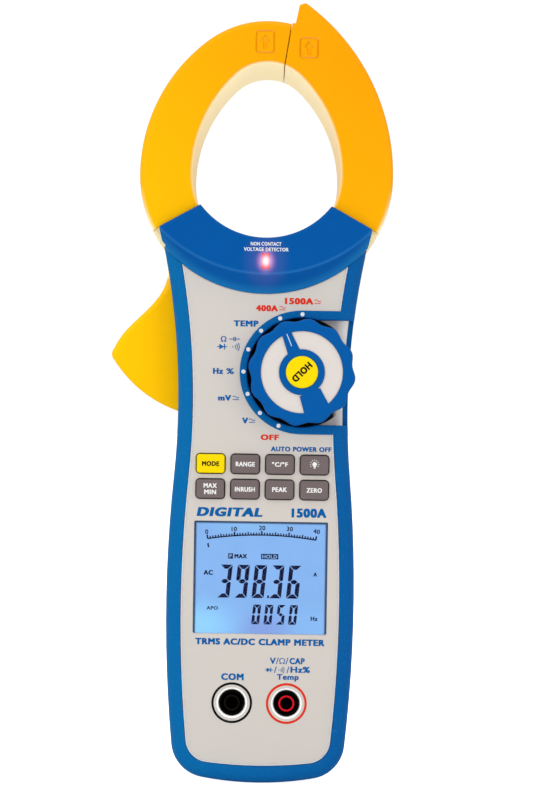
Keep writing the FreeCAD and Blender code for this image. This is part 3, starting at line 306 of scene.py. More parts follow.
def panel_plastic():
    """Pale casing plastic with a painted white highlight and glow on its chamfered rims, painted shade
    round the knob and keys, and a painted glow on the deep floor right of the knob.
    """

    def slanted(s):
        across = s.math("ABSOLUTE", s.axes(s.normal)[1])
        return s.math("MULTIPLY", s.ramp(across, 0.3, 0.5), s.ramp(across, 0.97, 0.9))

    def rim_highlights_and_gap_shade(s, base):
        # Painted highlight: the slanted chamfer faces are mixed to white.
        base = s.mix(base, PALE, slanted(s))
        # Slightly darker and warmer towards the right.
        warm = s.ramp(s.axes(s.place)[0], -34.0, 34.0)
        base = s.mix(base, srgb(212, 203, 195), s.math("MULTIPLY", warm, 0.35))
        # Painted shade: the gap round the knob and round each key is mixed to near black.
        gap_shade = s.math("MULTIPLY", s.math("MAXIMUM", dial_gap(s), key_gap_shade(s)), front_half(s))
        return s.mix(base, srgb(6, 6, 10), gap_shade)

    def rim_and_floor_glow(s):
        place = s.axes(s.place)
        front = s.ramp(place[1], PANEL_FRONT + 0.7, PANEL_FRONT + 0.5)
        # Painted light: a glow on the front chamfered rims.
        rims = s.math("MULTIPLY", s.math("MULTIPLY", slanted(s), front), 0.4)
        # Painted light: a glow on the deep floor of the well right of the knob.
        right = s.ramp(place[0], DIAL[0] + 13.0, DIAL[0] + 16.0)
        deep = s.math("MULTIPLY", s.ramp(place[1], PANEL_FRONT + 3, PANEL_FRONT + 4), front_half(s))
        floor = s.math("MULTIPLY", s.math("MULTIPLY", right, deep), 0.22)
        return PALE, s.math("ADD", rims, floor)

    return plastic("panel_plastic", PANEL, 0.5, 0.3, 0.008, edge=0.1, tint=0.015, specular=0.12,
                   paint=rim_highlights_and_gap_shade, glow=rim_and_floor_glow)


def overmould_rubber():
    """Soft blue overmould with a sparkly fine grain, a little darker towards the right."""

    def grain(s, base):
        sparkle = s.ramp(s.noise(0.45, 3.0), 0.62, 0.74)
        # A plain gradient along X: darker towards the right.
        base = s.mix(base, srgb(0, 90, 160), s.ramp(s.axes(s.place)[0], -30.0, 40.0))
        return s.mix(base, srgb(70, 150, 210), s.math("MULTIPLY", sparkle, 0.35))

    return plastic("overmould_rubber", BLUE, 0.48, 0.35, 0.03, edge=0.25, paint=grain, specular=0.06)


def collar_plastic():
    """Satin blue collar with painted highlights along its lower rim and along the crest where its flat
    meets its slope, that takes some of the lamp's pink light.
    """

    # Painted highlights, along the lower rim and the crest.
    def lines(s, base):
        rim_centre, rim_radius, rim_width = (0.0, 6.0), 50.4, 3.9
        crest_centre, crest_radius = (0.0, 18.4), 55.6
        away = s.distance(rim_centre)
        # Painted highlight: paler towards the lower rim.
        rim = s.ramp(away, rim_radius - rim_width, rim_radius, 0.0, 0.6, smooth=True)
        base = s.mix(base, srgb(30, 128, 190), rim)
        # Painted highlight: a thin paler line along the crest.
        crest = s.math("ABSOLUTE", s.math("SUBTRACT", s.distance(crest_centre), crest_radius))
        return s.mix(base, srgb(70, 150, 208), s.ramp(crest, 0.8, 0.1, 0.0, 0.2))

    def lamp_glow(s):
        away = s.distance(LAMP, (1.0, 0.8))
        near = s.ramp(away, 0.5, 5.0, 1.0, 0.0, smooth=True)
        wide = s.ramp(away, 2.0, 10.0, 0.07, 0.0, smooth=True)
        strength = s.math("MULTIPLY", s.math("ADD", s.math("POWER", near, 1.6), wide), front_half(s))
        return s.mix(srgb(210, 90, 140), srgb(255, 170, 190), near), strength

    return plastic("collar_plastic", COLLAR_BLUE, 0.38, 0.4, 0.008, edge=0.3, specular=0.05,
                   paint=lines, glow=lamp_glow)


def knob_plastic():
    return plastic("knob_plastic", srgb(0, 90, 166), 0.4, 0.4, 0.008, edge=0.3, specular=0.06)


def jaw_masks(s):
    """How much a point belongs to the wall of the opening, and to the roots beside the collar."""
    place = s.axes(s.place)
    flat = s.vector("NORMALIZE", s.vector("MULTIPLY", s.place, (1.0, 0.0, 1.0)))
    outward = s.vector("DOT_PRODUCT", s.normal, flat)
    facing_in = s.ramp(outward, -0.4, -0.9)
    facing_out = s.ramp(outward, 0.4, 0.9)
    wall = s.math("MULTIPLY", facing_in, s.ramp(place[2], -20.0, 36.0, 0.35, 1.0))
    beside_collar = s.ramp(s.math("ABSOLUTE", place[0]), 32.0, 36.0)
    below_opening = s.ramp(place[2], -4.0, -22.0)
    above_trigger = s.ramp(place[2], -39.0, -37.0)
    low = s.math("MULTIPLY", below_opening, above_trigger)
    side = s.math("MAXIMUM", facing_out, s.ramp(place[1], -19.0, -17.5))
    towards_front = s.ramp(place[1], 8.0, -4.0)
    strip = s.math("MULTIPLY", side, towards_front)
    root = s.math("MULTIPLY", s.math("MULTIPLY", beside_collar, low), strip)
    return wall, root


def orange_plastic():
    """Jaw plastic with painted light: yellower on the left and low down where the light falls, and pale
    where light comes off the opening.
    """

    def painted_jaw_light(s, base):
        place = s.axes(s.place)
        lower = s.ramp(place[2], 45.0, -30.0)
        left = s.ramp(place[0], 35.0, -45.0)
        share = s.math("MULTIPLY", s.math("ADD", lower, left), 0.5)
        # Painted light: lighter and yellower towards the lower left.
        base = s.mix(base, srgb(255, 196, 0), share)
        wall, root = jaw_masks(s)
        # Painted reflection: the walls of the opening and the roots beside the collar go pale.
        return s.mix(base, srgb(255, 240, 190), s.math("MAXIMUM", wall, root))

    def through_light(s):
        """Light off the white surroundings: pale on the walls and roots, amber on the trigger."""
        wall, root = jaw_masks(s)
        trigger = s.ramp(s.axes(s.place)[2], -34.0, -44.0)
        pale = s.math("MULTIPLY", s.math("MAXIMUM", wall, root), 0.22)
        colour = s.mix(srgb(255, 238, 200), srgb(255, 185, 0), trigger)
        return colour, s.math("ADD", pale, s.math("MULTIPLY", trigger, 0.12))

    return plastic("orange_plastic", ORANGE, 0.36, 0.45, 0.008, edge=0.2, round_off=0.6, tint=0.02,
                   specular=0.06, paint=painted_jaw_light, glow=through_light)


def yellow_plastic():
    return plastic("yellow_plastic", YELLOW, 0.42, 0.3, 0.006, edge=0.15, tint=0.02, specular=0.08)


def key_plastic():
    """Warm grey key with a paler rounded rim, partly wear and partly a painted highlight."""
    return plastic("key_plastic", KEY_GREY, 0.45, 0.3, 0.01, edge=0.55, round_off=0.35, specular=0.1)


def inlay_plastic():
    return plastic("inlay_plastic", INLAY, 0.48, 0.3, 0.008, edge=0.1, tint=0.02, specular=0.12)


def black_plastic():
    return plastic("black_plastic", BLACK, 0.5, 0.3, 0.012, edge=0.2, specular=0.25)


def socket_plastic(name, centre, sleeve_colour):
    """Black socket shroud with a coloured rim on the sleeve round the contact."""

    def sleeve(s, base):
        away = s.distance(centre)
        ring = s.math("MULTIPLY", s.ramp(away, 3.06, 3.02), s.ramp(away, 2.3, 2.34))
        facing = s.ramp(s.math("ABSOLUTE", s.axes(s.normal)[1]), 0.5, 0.7)
        return s.mix(base, sleeve_colour, s.math("MULTIPLY", ring, facing))

    return plastic(name, srgb(4, 3, 3), 0.5, 0.3, 0.006, edge=0.05, specular=0.04, paint=sleeve)


def white_plastic(name="white_plastic", colour=srgb(232, 232, 228)):
    return plastic(name, colour, 0.45, 0.3, 0.008, edge=0.1, tint=0.02)


def seal_rubber():
    return plastic("seal_rubber", srgb(30, 30, 32), 0.7, 0.25, 0.02, edge=0.15, specular=0.2)


def cable_rubber(name, colour):
    return plastic(name, colour, 0.6, 0.2, 0.01, edge=0.1, specular=0.25)


def sensor_resin():
    return plastic("sensor_resin", srgb(26, 26, 30), 0.35, 0.2, 0.006, edge=0.2)


def laminated_iron():
    """Core strip: dark varnished steel with the edges of its laminations showing."""
    s = Shader("laminated_iron")
    depth = s.axes(s.place)[1]
    stripe = s.math("PINGPONG", depth, 0.18)
    layer = s.ramp(stripe, 0.0, 0.18)
    base = s.mix(srgb(52, 52, 58), srgb(112, 112, 118), layer)
    base = s.mix(base, srgb(70, 58, 48), s.ramp(s.noise(3.0, 3.0), 0.55, 0.75, 0.0, 0.5))
    skin = s.bumped(layer, 0.04, s.normal)
    shine = s.ramp(layer, 0, 1, 0.5, 0.35)
    made = s.node("BsdfPrincipled", Base_Color=base, Metallic=0.8, Roughness=shine, Normal=skin)
    return s.surface(made.outputs[0])


def circuit_board():
    """Green solder mask over copper tracks laid out on a grid."""
    s = Shader("circuit_board")
    halved = s.vector("MULTIPLY", s.place, (0.5, 0.5, 0.5))
    tracks = s.node("TexBrick", Vector=halved, Scale=1.0, Mortar_Size=0.06)
    s.feed(tracks.inputs["Color1"], srgb(10, 92, 42))
    s.feed(tracks.inputs["Color2"], srgb(16, 104, 50))
    s.feed(tracks.inputs["Mortar"], srgb(28, 128, 66))
    speck = s.ramp(s.noise(0.5), 0.66, 0.7)
    base = s.mix(tracks.outputs["Color"], srgb(190, 170, 110), s.math("MULTIPLY", speck, 0.6))
    skin = s.bumped(tracks.outputs["Fac"], 0.03, s.normal)
    made = s.node("BsdfPrincipled", Base_Color=base, Roughness=s.ramp(speck, 0, 1, 0.35, 0.25), Normal=skin)
    return s.surface(made.outputs[0])


def elastomer():
    """Display connector: thin black and white layers pressed together."""
    s = Shader("elastomer")
    layer = s.ramp(s.math("PINGPONG", s.axes(s.place)[0], 0.25), 0.1, 0.15)
    base = s.mix(srgb(24, 24, 26), srgb(205, 120, 130), layer)
    made = s.node("BsdfPrincipled", Base_Color=base, Roughness=s.ramp(layer, 0, 1, 0.7, 0.55))
    s.feed(made.inputs["Normal"], s.bumped(layer, 0.02, s.normal))
    return s.surface(made.outputs[0])


def battery_wrap():
    """Plain printed wrap: dark with a copper-coloured band towards the terminals."""

    def band(s, base):
        height = s.axes(s.place)[2]
        return s.mix(base, srgb(196, 128, 66), s.ramp(height, -142.0, -141.6))

    return plastic("battery_wrap", srgb(34, 34, 38), 0.3, 0.5, 0.006, edge=0.3, paint=band)


def clear_window():
    """Clear hard-coated window: see-through with a soft reflection, and frosty at its rounded edge."""
    s = Shader("clear_window")
    haze = s.noise(9.0, 3.0)
    skin = s.bumped(haze, 0.004, s.rounded(0.3))
    shine = s.ramp(haze, 0.3, 0.7, 0.08, 0.14)
    gloss = s.node("BsdfGlossy", Color=(1, 1, 1, 1), Roughness=shine, Normal=skin)
    clear = s.node("BsdfTransparent", Color=srgb(250, 252, 255))
    facing = s.node("Fresnel", IOR=1.45, Normal=skin).outputs[0]
    blend = s.node("MixShader", Fac=s.math("MULTIPLY", facing, 0.2))
    s.feed(blend.inputs[1], clear.outputs[0])
    s.feed(blend.inputs[2], gloss.outputs[0])
    return s.surface(blend.outputs[0])


def lit_display():
    """Backlit liquid-crystal cell: pale blue, brighter in the lower corners and at the top, violet
    low in the middle, and dark with painted shade below the rim of the window.
    """
    s = Shader("lit_display")
    x, z = WINDOW
    corners = s.math(
        "ADD",
        s.ramp(s.distance((x - 24, z - 19), (1.0, 1.5)), 2.0, 22.0, 1.0, 0.0, smooth=True),
        s.ramp(s.distance((x + 24, z - 19), (1.0, 1.2)), 2.0, 20.0, 0.15, 0.0, smooth=True),
        clamp=True,
    )
    top = s.ramp(s.distance((x - 5, z + 22), (0.6, 1.6)), 0.0, 14.0, 0.7, 0.0, smooth=True)
    violet = s.ramp(s.distance((x + 2, z - 20), (1.0, 1.5)), 0.0, 15.0, 1.0, 0.0, smooth=True)
    colour = s.mix(srgb(137, 183, 238), srgb(136, 163, 226), violet)
    colour = s.mix(colour, srgb(150, 214, 255), s.math("MAXIMUM", corners, s.math("MULTIPLY", top, 0.6)))
    # Painted shade just inside the rim of the window.
    place = s.axes(s.place)
    beside = s.math("ABSOLUTE", s.math("SUBTRACT", place[0], x))
    side_edge = WINDOW_WIDTH / 2
    top_edge = z + WINDOW_HEIGHT / 2
    side_shade = s.ramp(beside, side_edge - 1.0, side_edge - 0.4)
    top_shade = s.ramp(place[2], top_edge - 1.3, top_edge - 0.7)
    shade = s.math("MAXIMUM", side_shade, top_shade)
    colour = s.mix(colour, srgb(14, 24, 52), s.math("MULTIPLY", shade, 0.9))
    cloud = s.ramp(s.noise(14.0, 2.0), 0.3, 0.7, 0.97, 1.03)
    made = s.node("BsdfPrincipled", Base_Color=srgb(30, 40, 52))
    s.feed(made.inputs["Emission Color"], colour)
    s.feed(made.inputs["Emission Strength"], cloud)
    s.feed(made.inputs["Roughness"], s.ramp(s.noise(0.3), 0.3, 0.7, 0.3, 0.4))
    s.feed(made.inputs["Normal"], s.bumped(s.noise(0.3), 0.003, s.normal))
    made.inputs["Specular IOR Level"].default_value = 0.15
    return s.surface(made.outputs[0])


def lit_lamp(name, strength):
    """Red lamp that burns white at its middle."""
    s = Shader(name)
    away = s.distance(LAMP, (1.0, 0.75))
    core = s.ramp(away, 0.2, 2.6, 1.0, 0.0, smooth=True)
    colour = s.mix(srgb(224, 70, 84), srgb(255, 236, 244), core)
    ripple = s.noise(0.4)
    power = s.math("MULTIPLY", s.ramp(core, 0.0, 1.0, 0.75, 1.3), strength)
    made = s.node("BsdfPrincipled", Base_Color=srgb(170, 20, 26))
    s.feed(made.inputs["Emission Color"], colour)
    s.feed(made.inputs["Emission Strength"], power)
    s.feed(made.inputs["Roughness"], s.ramp(ripple, 0.3, 0.7, 0.15, 0.25))
    s.feed(made.inputs["Normal"], s.bumped(ripple, 0.01, s.rounded(0.2)))
    return s.surface(made.outputs[0])


def backlight():
    """Diffuser behind the display, with a field of faint dots."""
    s = Shader("backlight")
    dots = s.node("TexVoronoi", Vector=s.place, Scale=1.2).outputs["Distance"]
    base = s.mix(srgb(235, 242, 250), srgb(200, 215, 235), s.ramp(dots, 0.1, 0.4))
    made = s.node("BsdfPrincipled", Base_Color=base, Roughness=s.ramp(dots, 0, 1, 0.3, 0.5))
    s.feed(made.inputs["Emission Color"], base)
    made.inputs["Emission Strength"].default_value = 0.4
    s.feed(made.inputs["Normal"], s.bumped(dots, 0.02, s.normal))
    return s.surface(made.outputs[0])


def paint_node(name, material):
    """Gives a CAD node one material without touching its mesh."""
    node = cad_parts[name]
    if not node.material_slots:
        node.data.materials.append(None)
    for slot in node.material_slots:
        slot.link = "OBJECT"
        slot.material = material


def paint_frame():
    keys = [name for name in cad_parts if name.startswith("key_") and name != "key_mode"]
    steel = metal("zinc_steel", srgb(176, 178, 184), 0.3)
    wire = metal("spring_wire", srgb(150, 152, 158), 0.25, (6.0, 6.0, 6.0))
    brass = metal("turned_brass", srgb(205, 168, 92), 0.28, (1.0, 14.0, 1.0))
    black = black_plastic()
    orange = orange_plastic()
    board = circuit_board()
    iron = laminated_iron()
    finishes = (
        (panel_plastic(), ("front_casing", "rear_casing", "battery_door")),
        (overmould_rubber(), ("front_overmould", "rear_overmould")),
        (collar_plastic(), ("front_collar", "rear_collar")),
        (knob_plastic(), ("knob",)),
        (ink("dot_ink", srgb(250, 250, 250)), ("dial_dots",)),
        (seal_rubber(), ("case_seal",)),
        (elastomer(), ("elastomer_strips",)),
        (steel, ("case_screws", "jaw_mount_screws", "battery_door_screws", "pivot_pin", "detent_balls")),
        (wire, ("jaw_spring", "hold_spring", "detent_springs")),
        (orange, ("moving_jaw_front_shell", "moving_jaw_rear_shell")),
        (orange, ("fixed_jaw_front_shell", "fixed_jaw_rear_shell")),
        (iron, ("moving_jaw_core", "fixed_jaw_core")),
        (sensor_resin(), ("field_sensor",)),
        (brass, ("pivot_sleeve", "wiper_contacts", "battery_terminals")),
        # Painted shade: the socket contacts get a dark brass, for the shade deep in their bores.
        (metal("brass_in_painted_shade", srgb(44, 30, 18), 0.6, (1.0, 14.0, 1.0)), ("com_contact", "volt_contact")),
        (lit_lamp("lamp_lens", 1.0), ("indicator_lens",)),
        (lit_lamp("lamp_body", 1.4), ("indicator_lamp",)),
        (board, ("main_board", "sensor_board")),
        (black, ("board_components", "buzzer", "battery_snap")),
        (socket_plastic("com_socket_plastic", COM, srgb(14, 10, 8)), ("com_socket_body",)),
        (socket_plastic("volt_socket_plastic", VOLT, srgb(214, 24, 36)), ("volt_socket_body",)),
        (cable_rubber("cable_rubber", srgb(110, 110, 112)), ("sensor_cable",)),
        (cable_rubber("lead_rubber", srgb(150, 20, 20)), ("battery_leads",)),
        (inlay_plastic(), ("knob_inlay",)),
        (white_plastic(), ("switch_rotor", "display_frame")),
        (yellow_plastic(), ("hold_button", "key_mode")),
        (key_plastic(), keys),
        (white_plastic("mat_silicone", srgb(206, 204, 200)), ("keypad_mat",)),
        (clear_window(), ("display_window",)),
        (lit_display(), ("display_glass",)),
        (backlight(), ("backlight_panel",)),
        (battery_wrap(), ("battery",)),
    )
    for material, names in finishes:
        for name in names:
            paint_node(name, material)


# Printing.


class Print:
    """Ink on a face that looks towards -Y: closed prisms joined into one piece that rides on a body."""

    def __init__(self, name, body, material, slot, face, thickness=INK_THICKNESS):
        self.name = name
        self.body = body
        self.material = material
        self.slot = slot
        self.face = face - thickness
        self.back = face + INK_SUNK
        self.strokes = 0
        self.mesh = bmesh.new()

    def next_front(self):
        """The front of the next stroke: neighbours differ a little, so that crossings never coincide."""
        self.strokes += 1
        return self.face - (self.strokes % STROKE_STEPS) * STROKE_STEP

    def outline(self, points):
        """A filled outline, given as (x, z) points in order."""
        depth = self.next_front()
        front = [self.mesh.verts.new((x, depth, z)) for x, z in points]
        back = [self.mesh.verts.new((x, self.back, z)) for x, z in points]
        self.mesh.faces.new(front)
        self.mesh.faces.new(back[::-1])
        for index in range(len(points)):
            following = (index + 1) % len(points)
            self.mesh.faces.new((front[index], back[index], back[following], front[following]))

    def bar(self, start, end, width):
        """A straight stroke from start to end."""
        along = Vector((end[0] - start[0], end[1] - start[1])).normalized() * (width / 2)
        side = Vector((-along.y, along.x))
        a, b = Vector(start), Vector(end)
        self.outline([a + side, b + side, b - side, a - side])

    def arc(self, centre, radius, width, start=0.0, end=360.0, steps=64):
        """A curved stroke, or a ring when it goes all the way round; angles in degrees."""
        whole = abs(end - start) >= 360.0
        front = self.next_front()
        count = steps if whole else steps + 1
        turns = [math.radians(start + (end - start) * step / steps) for step in range(count)]
        loops = []
        for turn in turns:
            direction = Vector((math.cos(turn), math.sin(turn)))
            loop = []
            for reach, depth in (
                (radius + width / 2, front), (radius - width / 2, front),
                (radius - width / 2, self.back), (radius + width / 2, self.back),
            ):
                point = Vector(centre) + direction * reach
                loop.append(self.mesh.verts.new((point.x, depth, point.y)))
            loops.append(loop)
        pairs = list(zip(loops, loops[1:]))
        if whole:
            pairs.append((loops[-1], loops[0]))
        else:
            self.mesh.faces.new(loops[0])
            self.mesh.faces.new(loops[-1][::-1])
        for here, there in pairs:
            for index in range(4):
                following = (index + 1) % 4
                self.mesh.faces.new((here[index], there[index], there[following], here[following]))

    def disc(self, centre, radius, steps=24):
        turns = [2 * math.pi * step / steps for step in range(steps)]
        self.outline([near(centre, radius * math.cos(turn), radius * math.sin(turn)) for turn in turns])

    def text(self, words, centre, height, width, weight, angle=0.0, slant=0.0):
        """Words in Blender's own font, fitted to a height and width and centred on a point.

        Without a width the letters keep their own. A weight above zero is the reach of six copies
        laid a little apart, and it spreads the letters too.
        """
        curve = bpy.data.curves.new("words", "FONT")
        curve.body = words
        curve.extrude = 0.1
        curve.resolution_u = 3
        curve.space_character = 1 + 2.5 * weight
        holder = bpy.data.objects.new("words", curve)
        bpy.context.scene.collection.objects.link(holder)
        depsgraph = bpy.context.evaluated_depsgraph_get()
        letters = bpy.data.meshes.new_from_object(holder.evaluated_get(depsgraph))
        bpy.data.objects.remove(holder)
        bpy.data.curves.remove(curve)
        places = [vertex.co.copy() for vertex in letters.vertices]
        left, right = min(p.x for p in places) - weight, max(p.x for p in places) + weight
        low, high = min(p.y for p in places) - weight / 2, max(p.y for p in places) + weight / 2
        tall = height / (high - low)
        wide = width / (right - left) if width else tall
        turn = Matrix.Rotation(math.radians(angle), 2)
        shifts = [(x * weight, y * weight / 2) for x in (-1, 0, 1) for y in (-1, 1)] if weight else [(0, 0)]
        for shift_x, shift_y in shifts:
            front = self.next_front()
            made = []
            for place in places:
                upright = (place.y + shift_y - (low + high) / 2) * tall
                across = (place.x + shift_x - (left + right) / 2) * wide + upright * slant
                spot = turn @ Vector((across, upright)) + Vector(centre)
                made.append(self.mesh.verts.new((spot.x, front if place.z > 0 else self.back, spot.y)))
            for polygon in letters.polygons:
                corners = [made[index] for index in polygon.vertices]
                if len(set(corners)) == len(corners):
                    self.mesh.faces.new(corners)
        bpy.data.meshes.remove(letters)

    def place(self):
        """Makes the piece and puts it on its body."""
        bmesh.ops.remove_doubles(self.mesh, verts=self.mesh.verts, dist=1e-4)
        bmesh.ops.recalc_face_normals(self.mesh, faces=self.mesh.faces)
        bmesh.ops.scale(self.mesh, vec=(MM, MM, MM), verts=self.mesh.verts)
        data = bpy.data.meshes.new(self.name)
        self.mesh.to_mesh(data)
        self.mesh.free()
        data.materials.append(self.material)
        piece = bpy.data.objects.new(self.name, data)
        bpy.context.scene.collection.objects.link(piece)
        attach(piece, self.body)


def near(origin, x, z):
    """The point at a distance to the right of and above another."""
    return origin[0] + x, origin[1] + z


def wave(sheet, centre, width, stroke):
    """The sign for alternating and direct current: a wave over a straight line."""
    steps = 8
    rise = width * 0.16
    line = width * -0.22
    points = []
    for step in range(steps + 1):
        share = step / steps
        height = width * 0.2 + rise * math.sin(2 * math.pi * share)
        points.append(near(centre, (share - 0.5) * width, height))
    for start, end in zip(points, points[1:]):
        sheet.bar(start, end, stroke)
    sheet.bar(near(centre, -width / 2, line), near(centre, width / 2, line), stroke)


def diode(sheet, centre, width, stroke):
    x, z = centre
    half = width * 0.28
    sheet.bar((x - width / 2, z), (x + width / 2, z), stroke)
    sheet.outline([(x - half, z + half), (x + half * 0.7, z), (x - half, z - half)])
    sheet.bar((x + half * 0.8, z - half), (x + half * 0.8, z + half), stroke * 1.3)


def capacitor(sheet, centre, width, stroke):
    x, z = centre
    gap = width * 0.07
    plate = width * 0.2
    for side in (-1, 1):
        sheet.bar((x + side * width / 2, z), (x + side * gap, z), stroke)
        sheet.bar((x + side * gap, z - plate), (x + side * gap, z + plate), stroke * 1.2)


def sounder(sheet, centre, width, stroke):
    """Sound waves spreading from a small dot."""
    origin = (centre[0] - width * 0.45, centre[1])
    sheet.disc(origin, stroke * 0.9, 10)
    for share in (0.4, 0.65, 0.9):
        sheet.arc(origin, width * share, stroke, -38, 38, 8)


def dial_print(blue, red):
    """Words and signs round the dial: text, place from the middle of the dial, height and width."""
    red_labels = (
        ("1500A", -1.3, 26.6, 2.4, 10.6),
        ("400A", -13.3, 23.8, 2.3, 8.2),
        ("OFF", -11.5, -24.4, 2.1, 6.8),
    )
    blue_labels = (
        ("TEMP", -21.0, 18.0, 2.2, 9.3),
        ("Hz", -31.2, 0.1, 2.2, 3.8),
        ("mV", -28.6, -9.9, 2.1, 4.9),
        ("V", -20.8, -18.3, 2.2, 2.3),
    )
    for words, x, z, height, width in red_labels:
        red.text(words, near(DIAL, x, z), height, width, EXTRA_BOLD)
    for words, x, z, height, width in blue_labels:
        blue.text(words, near(DIAL, x, z), height, width, EXTRA_BOLD)
    blue.text("%", near(DIAL, -26.7, 0.1), 2.2, 2.9, LIGHT)
    blue.text("Ω", near(DIAL, -29.3, 12.1), 2.1, 2.1, 0.02)
    blue.text("AUTO POWER OFF", near(DIAL, 0.3, -28.7), 1.8, 22.6, BOLD)
    wave_stroke = 0.27
    wave(red, near(DIAL, 5.6, 26.4), 2.4, wave_stroke)
    wave(red, near(DIAL, -7.5, 23.8), 2.3, wave_stroke)
    wave(blue, near(DIAL, -24.4, -10.0), 2.3, wave_stroke)
    wave(blue, near(DIAL, -18.2, -18.4), 2.3, wave_stroke)
    capacitor(blue, near(DIAL, -25.2, 12.1), 4.0, 0.3)
    diode(blue, near(DIAL, -29.8, 9.2), 3.8, 0.3)
    sounder(blue, near(DIAL, -24.6, 9.2), 2.7, 0.26)


def socket_print(blue, red, black):
    """Rings round the two sockets, and what each is for."""
    ring_radius = 7.2
    ring_width = 0.85
    black.arc(COM, ring_radius, ring_width)
    red.arc(VOLT, ring_radius, ring_width)
    blue.text("COM", near(COM, 0.1, 9.7), 2.5, 8.4, BOLD)
    blue.text("V", near(VOLT, -5.3, 15.9), 2.3, 2.2, 0.035)
    blue.text("Ω", near(VOLT, -1.8, 15.9), 2.2, 2.2, PLAIN)
    blue.text("CAP", near(VOLT, 3.8, 15.9), 2.3, 5.7, 0.05)
    for x, z in ((-3.6, 15.9), (0.0, 15.9), (-4.3, 12.6), (0.4, 12.6)):
        blue.text("/", near(VOLT, x, z), 2.4, 1.0, FINE)
    diode(blue, near(VOLT, -6.7, 12.5), 3.0, 0.26)
    sounder(blue, near(VOLT, -2.0, 12.5), 2.2, 0.22)
    blue.text("Hz%", near(VOLT, 5.0, 12.7), 2.3, 7.3, MEDIUM)
    blue.text("Temp", near(VOLT, 0.4, 9.6), 2.7, 8.2, MEDIUM)


def panel_print():
    """Everything printed on the pale front panel."""
    blue_ink = ink("blue_ink", PRINT_BLUE)
    red_ink = ink("red_ink", RED)
    black_ink = ink("black_ink", BLACK)
    blue = Print("panel_print_blue", "casing", blue_ink, "blue_plastic", PANEL_FRONT)
    red = Print("panel_print_red", "casing", red_ink, "red_lens", PANEL_FRONT)
    black = Print("panel_print_black", "casing", black_ink, "component_black", PANEL_FRONT)
    dial_print(blue, red)
    socket_print(blue, red, black)
    blue.text("DIGITAL", near(WINDOW, -11.6, 24.5), 3.4, 24.5, 0.065, slant=0.2)
    blue.text("1500A", near(WINDOW, 17.8, 24.5), 3.4, 13.0, EXTRA_BOLD)
    blue.text("TRMS AC/DC CLAMP METER", near(WINDOW, 0.2, -23.9), 2.4, 48.3, EXTRA_BOLD)
    for sheet in (blue, red, black):
        sheet.place()


def collar_print():
    """Two lines above the lamp."""
    white_ink = ink("white_ink", srgb(246, 246, 250))
    white = Print("collar_print", "casing", white_ink, "white_ink", COLLAR_FRONT)
    white.text("NON CONTACT", near(LAMP, 0.0, 6.35), 1.35, 11.4, LIGHT)
    white.text("VOLTAGE DETECTOR", near(LAMP, 0.1, 4.3), 1.35, 16.6, LIGHT)
    white.place()


def knob_print():
    """Pale line of painted highlight along the pointer spoke of the knob, and the word on its button."""
    pointer_highlight_ink = ink("pointer_highlight_ink", srgb(200, 222, 240))
    white = Print("knob_pointer_highlight", "dial", pointer_highlight_ink, "white_ink", front_of("knob"))
    turn = math.radians(112.5)
    heading = Vector((math.cos(turn), math.sin(turn)))
    # Painted highlight along the edge of the pointer spoke.
    white.bar(Vector(DIAL) + heading * 10.4, Vector(DIAL) + heading * 15.2, 0.32)
    white.place()
    hold_ink = ink("hold_ink", BLACK)
    hold = Print("hold_text", "hold_button", hold_ink, "component_black", front_of("hold_button"))
    hold.text("HOLD", DIAL, 2.6, 8.8, BOLD, angle=225)
    hold.place()


def lamp_icon(sheet, centre):
    """A light bulb with short rays round it."""
    bulb = near(centre, 0.0, 0.2)
    socket = ((-0.45, -0.5), (0.45, -0.5), (0.4, -1.0), (-0.4, -1.0))
    sheet.disc(bulb, 0.85, 20)
    sheet.outline([near(centre, x, z) for x, z in socket])
    sheet.bar(near(centre, -0.35, -1.3), near(centre, 0.35, -1.3), 0.22)
    for turn in range(-30, 240, 30):
        heading = Vector((math.cos(math.radians(turn)), math.sin(math.radians(turn))))
        start = Vector(bulb) + heading * 1.3
        sheet.bar(start, start + heading * 0.5, 0.2)


def key_print():
    """The legend of each key: lines of text with their height above the middle, size and width."""
    white = ink("key_ink", srgb(246, 244, 244))
    black = ink("mode_ink", BLACK)
    legends = (
        ("key_mode", (("MODE", 0.0, 1.75, 6.4),)),
        ("key_range", (("RANGE", 0.0, 1.75, 7.2),)),
        ("key_temperature", (("°C/°F", 0.1, 1.75, 6.0),)),
        ("key_backlight", ()),
        ("key_max_min", (("MAX", 1.25, 1.7, 5.0), ("MIN", -1.15, 1.7, 4.5))),
        ("key_inrush", (("INRUSH", 0.0, 1.75, 7.5),)),
        ("key_peak", (("PEAK", 0.1, 1.75, 5.6),)),
        ("key_zero", (("ZERO", 0.0, 1.75, 5.8),)),
    )
    for key, lines in legends:
        name = key.replace("key_", "legend_")
        if key == "key_mode":
            sheet = Print(name, key, black, "component_black", front_of(key))
        else:
            sheet = Print(name, key, white, "white_ink", front_of(key))
        centre = centre_of(key)
        for words, z, height, width in lines:
            sheet.text(words, near(centre, 0.0, z), height, width, MEDIUM)
        if not lines:
            lamp_icon(sheet, near(centre, 0.0, 0.1))
        sheet.place()


# Display.

# Which of the seven segments, a to g, each figure lights.
SEGMENTS = {"0": "abcdef", "3": "abcdg", "5": "acdfg", "6": "acdefg", "8": "abcdefg", "9": "abcdfg"}


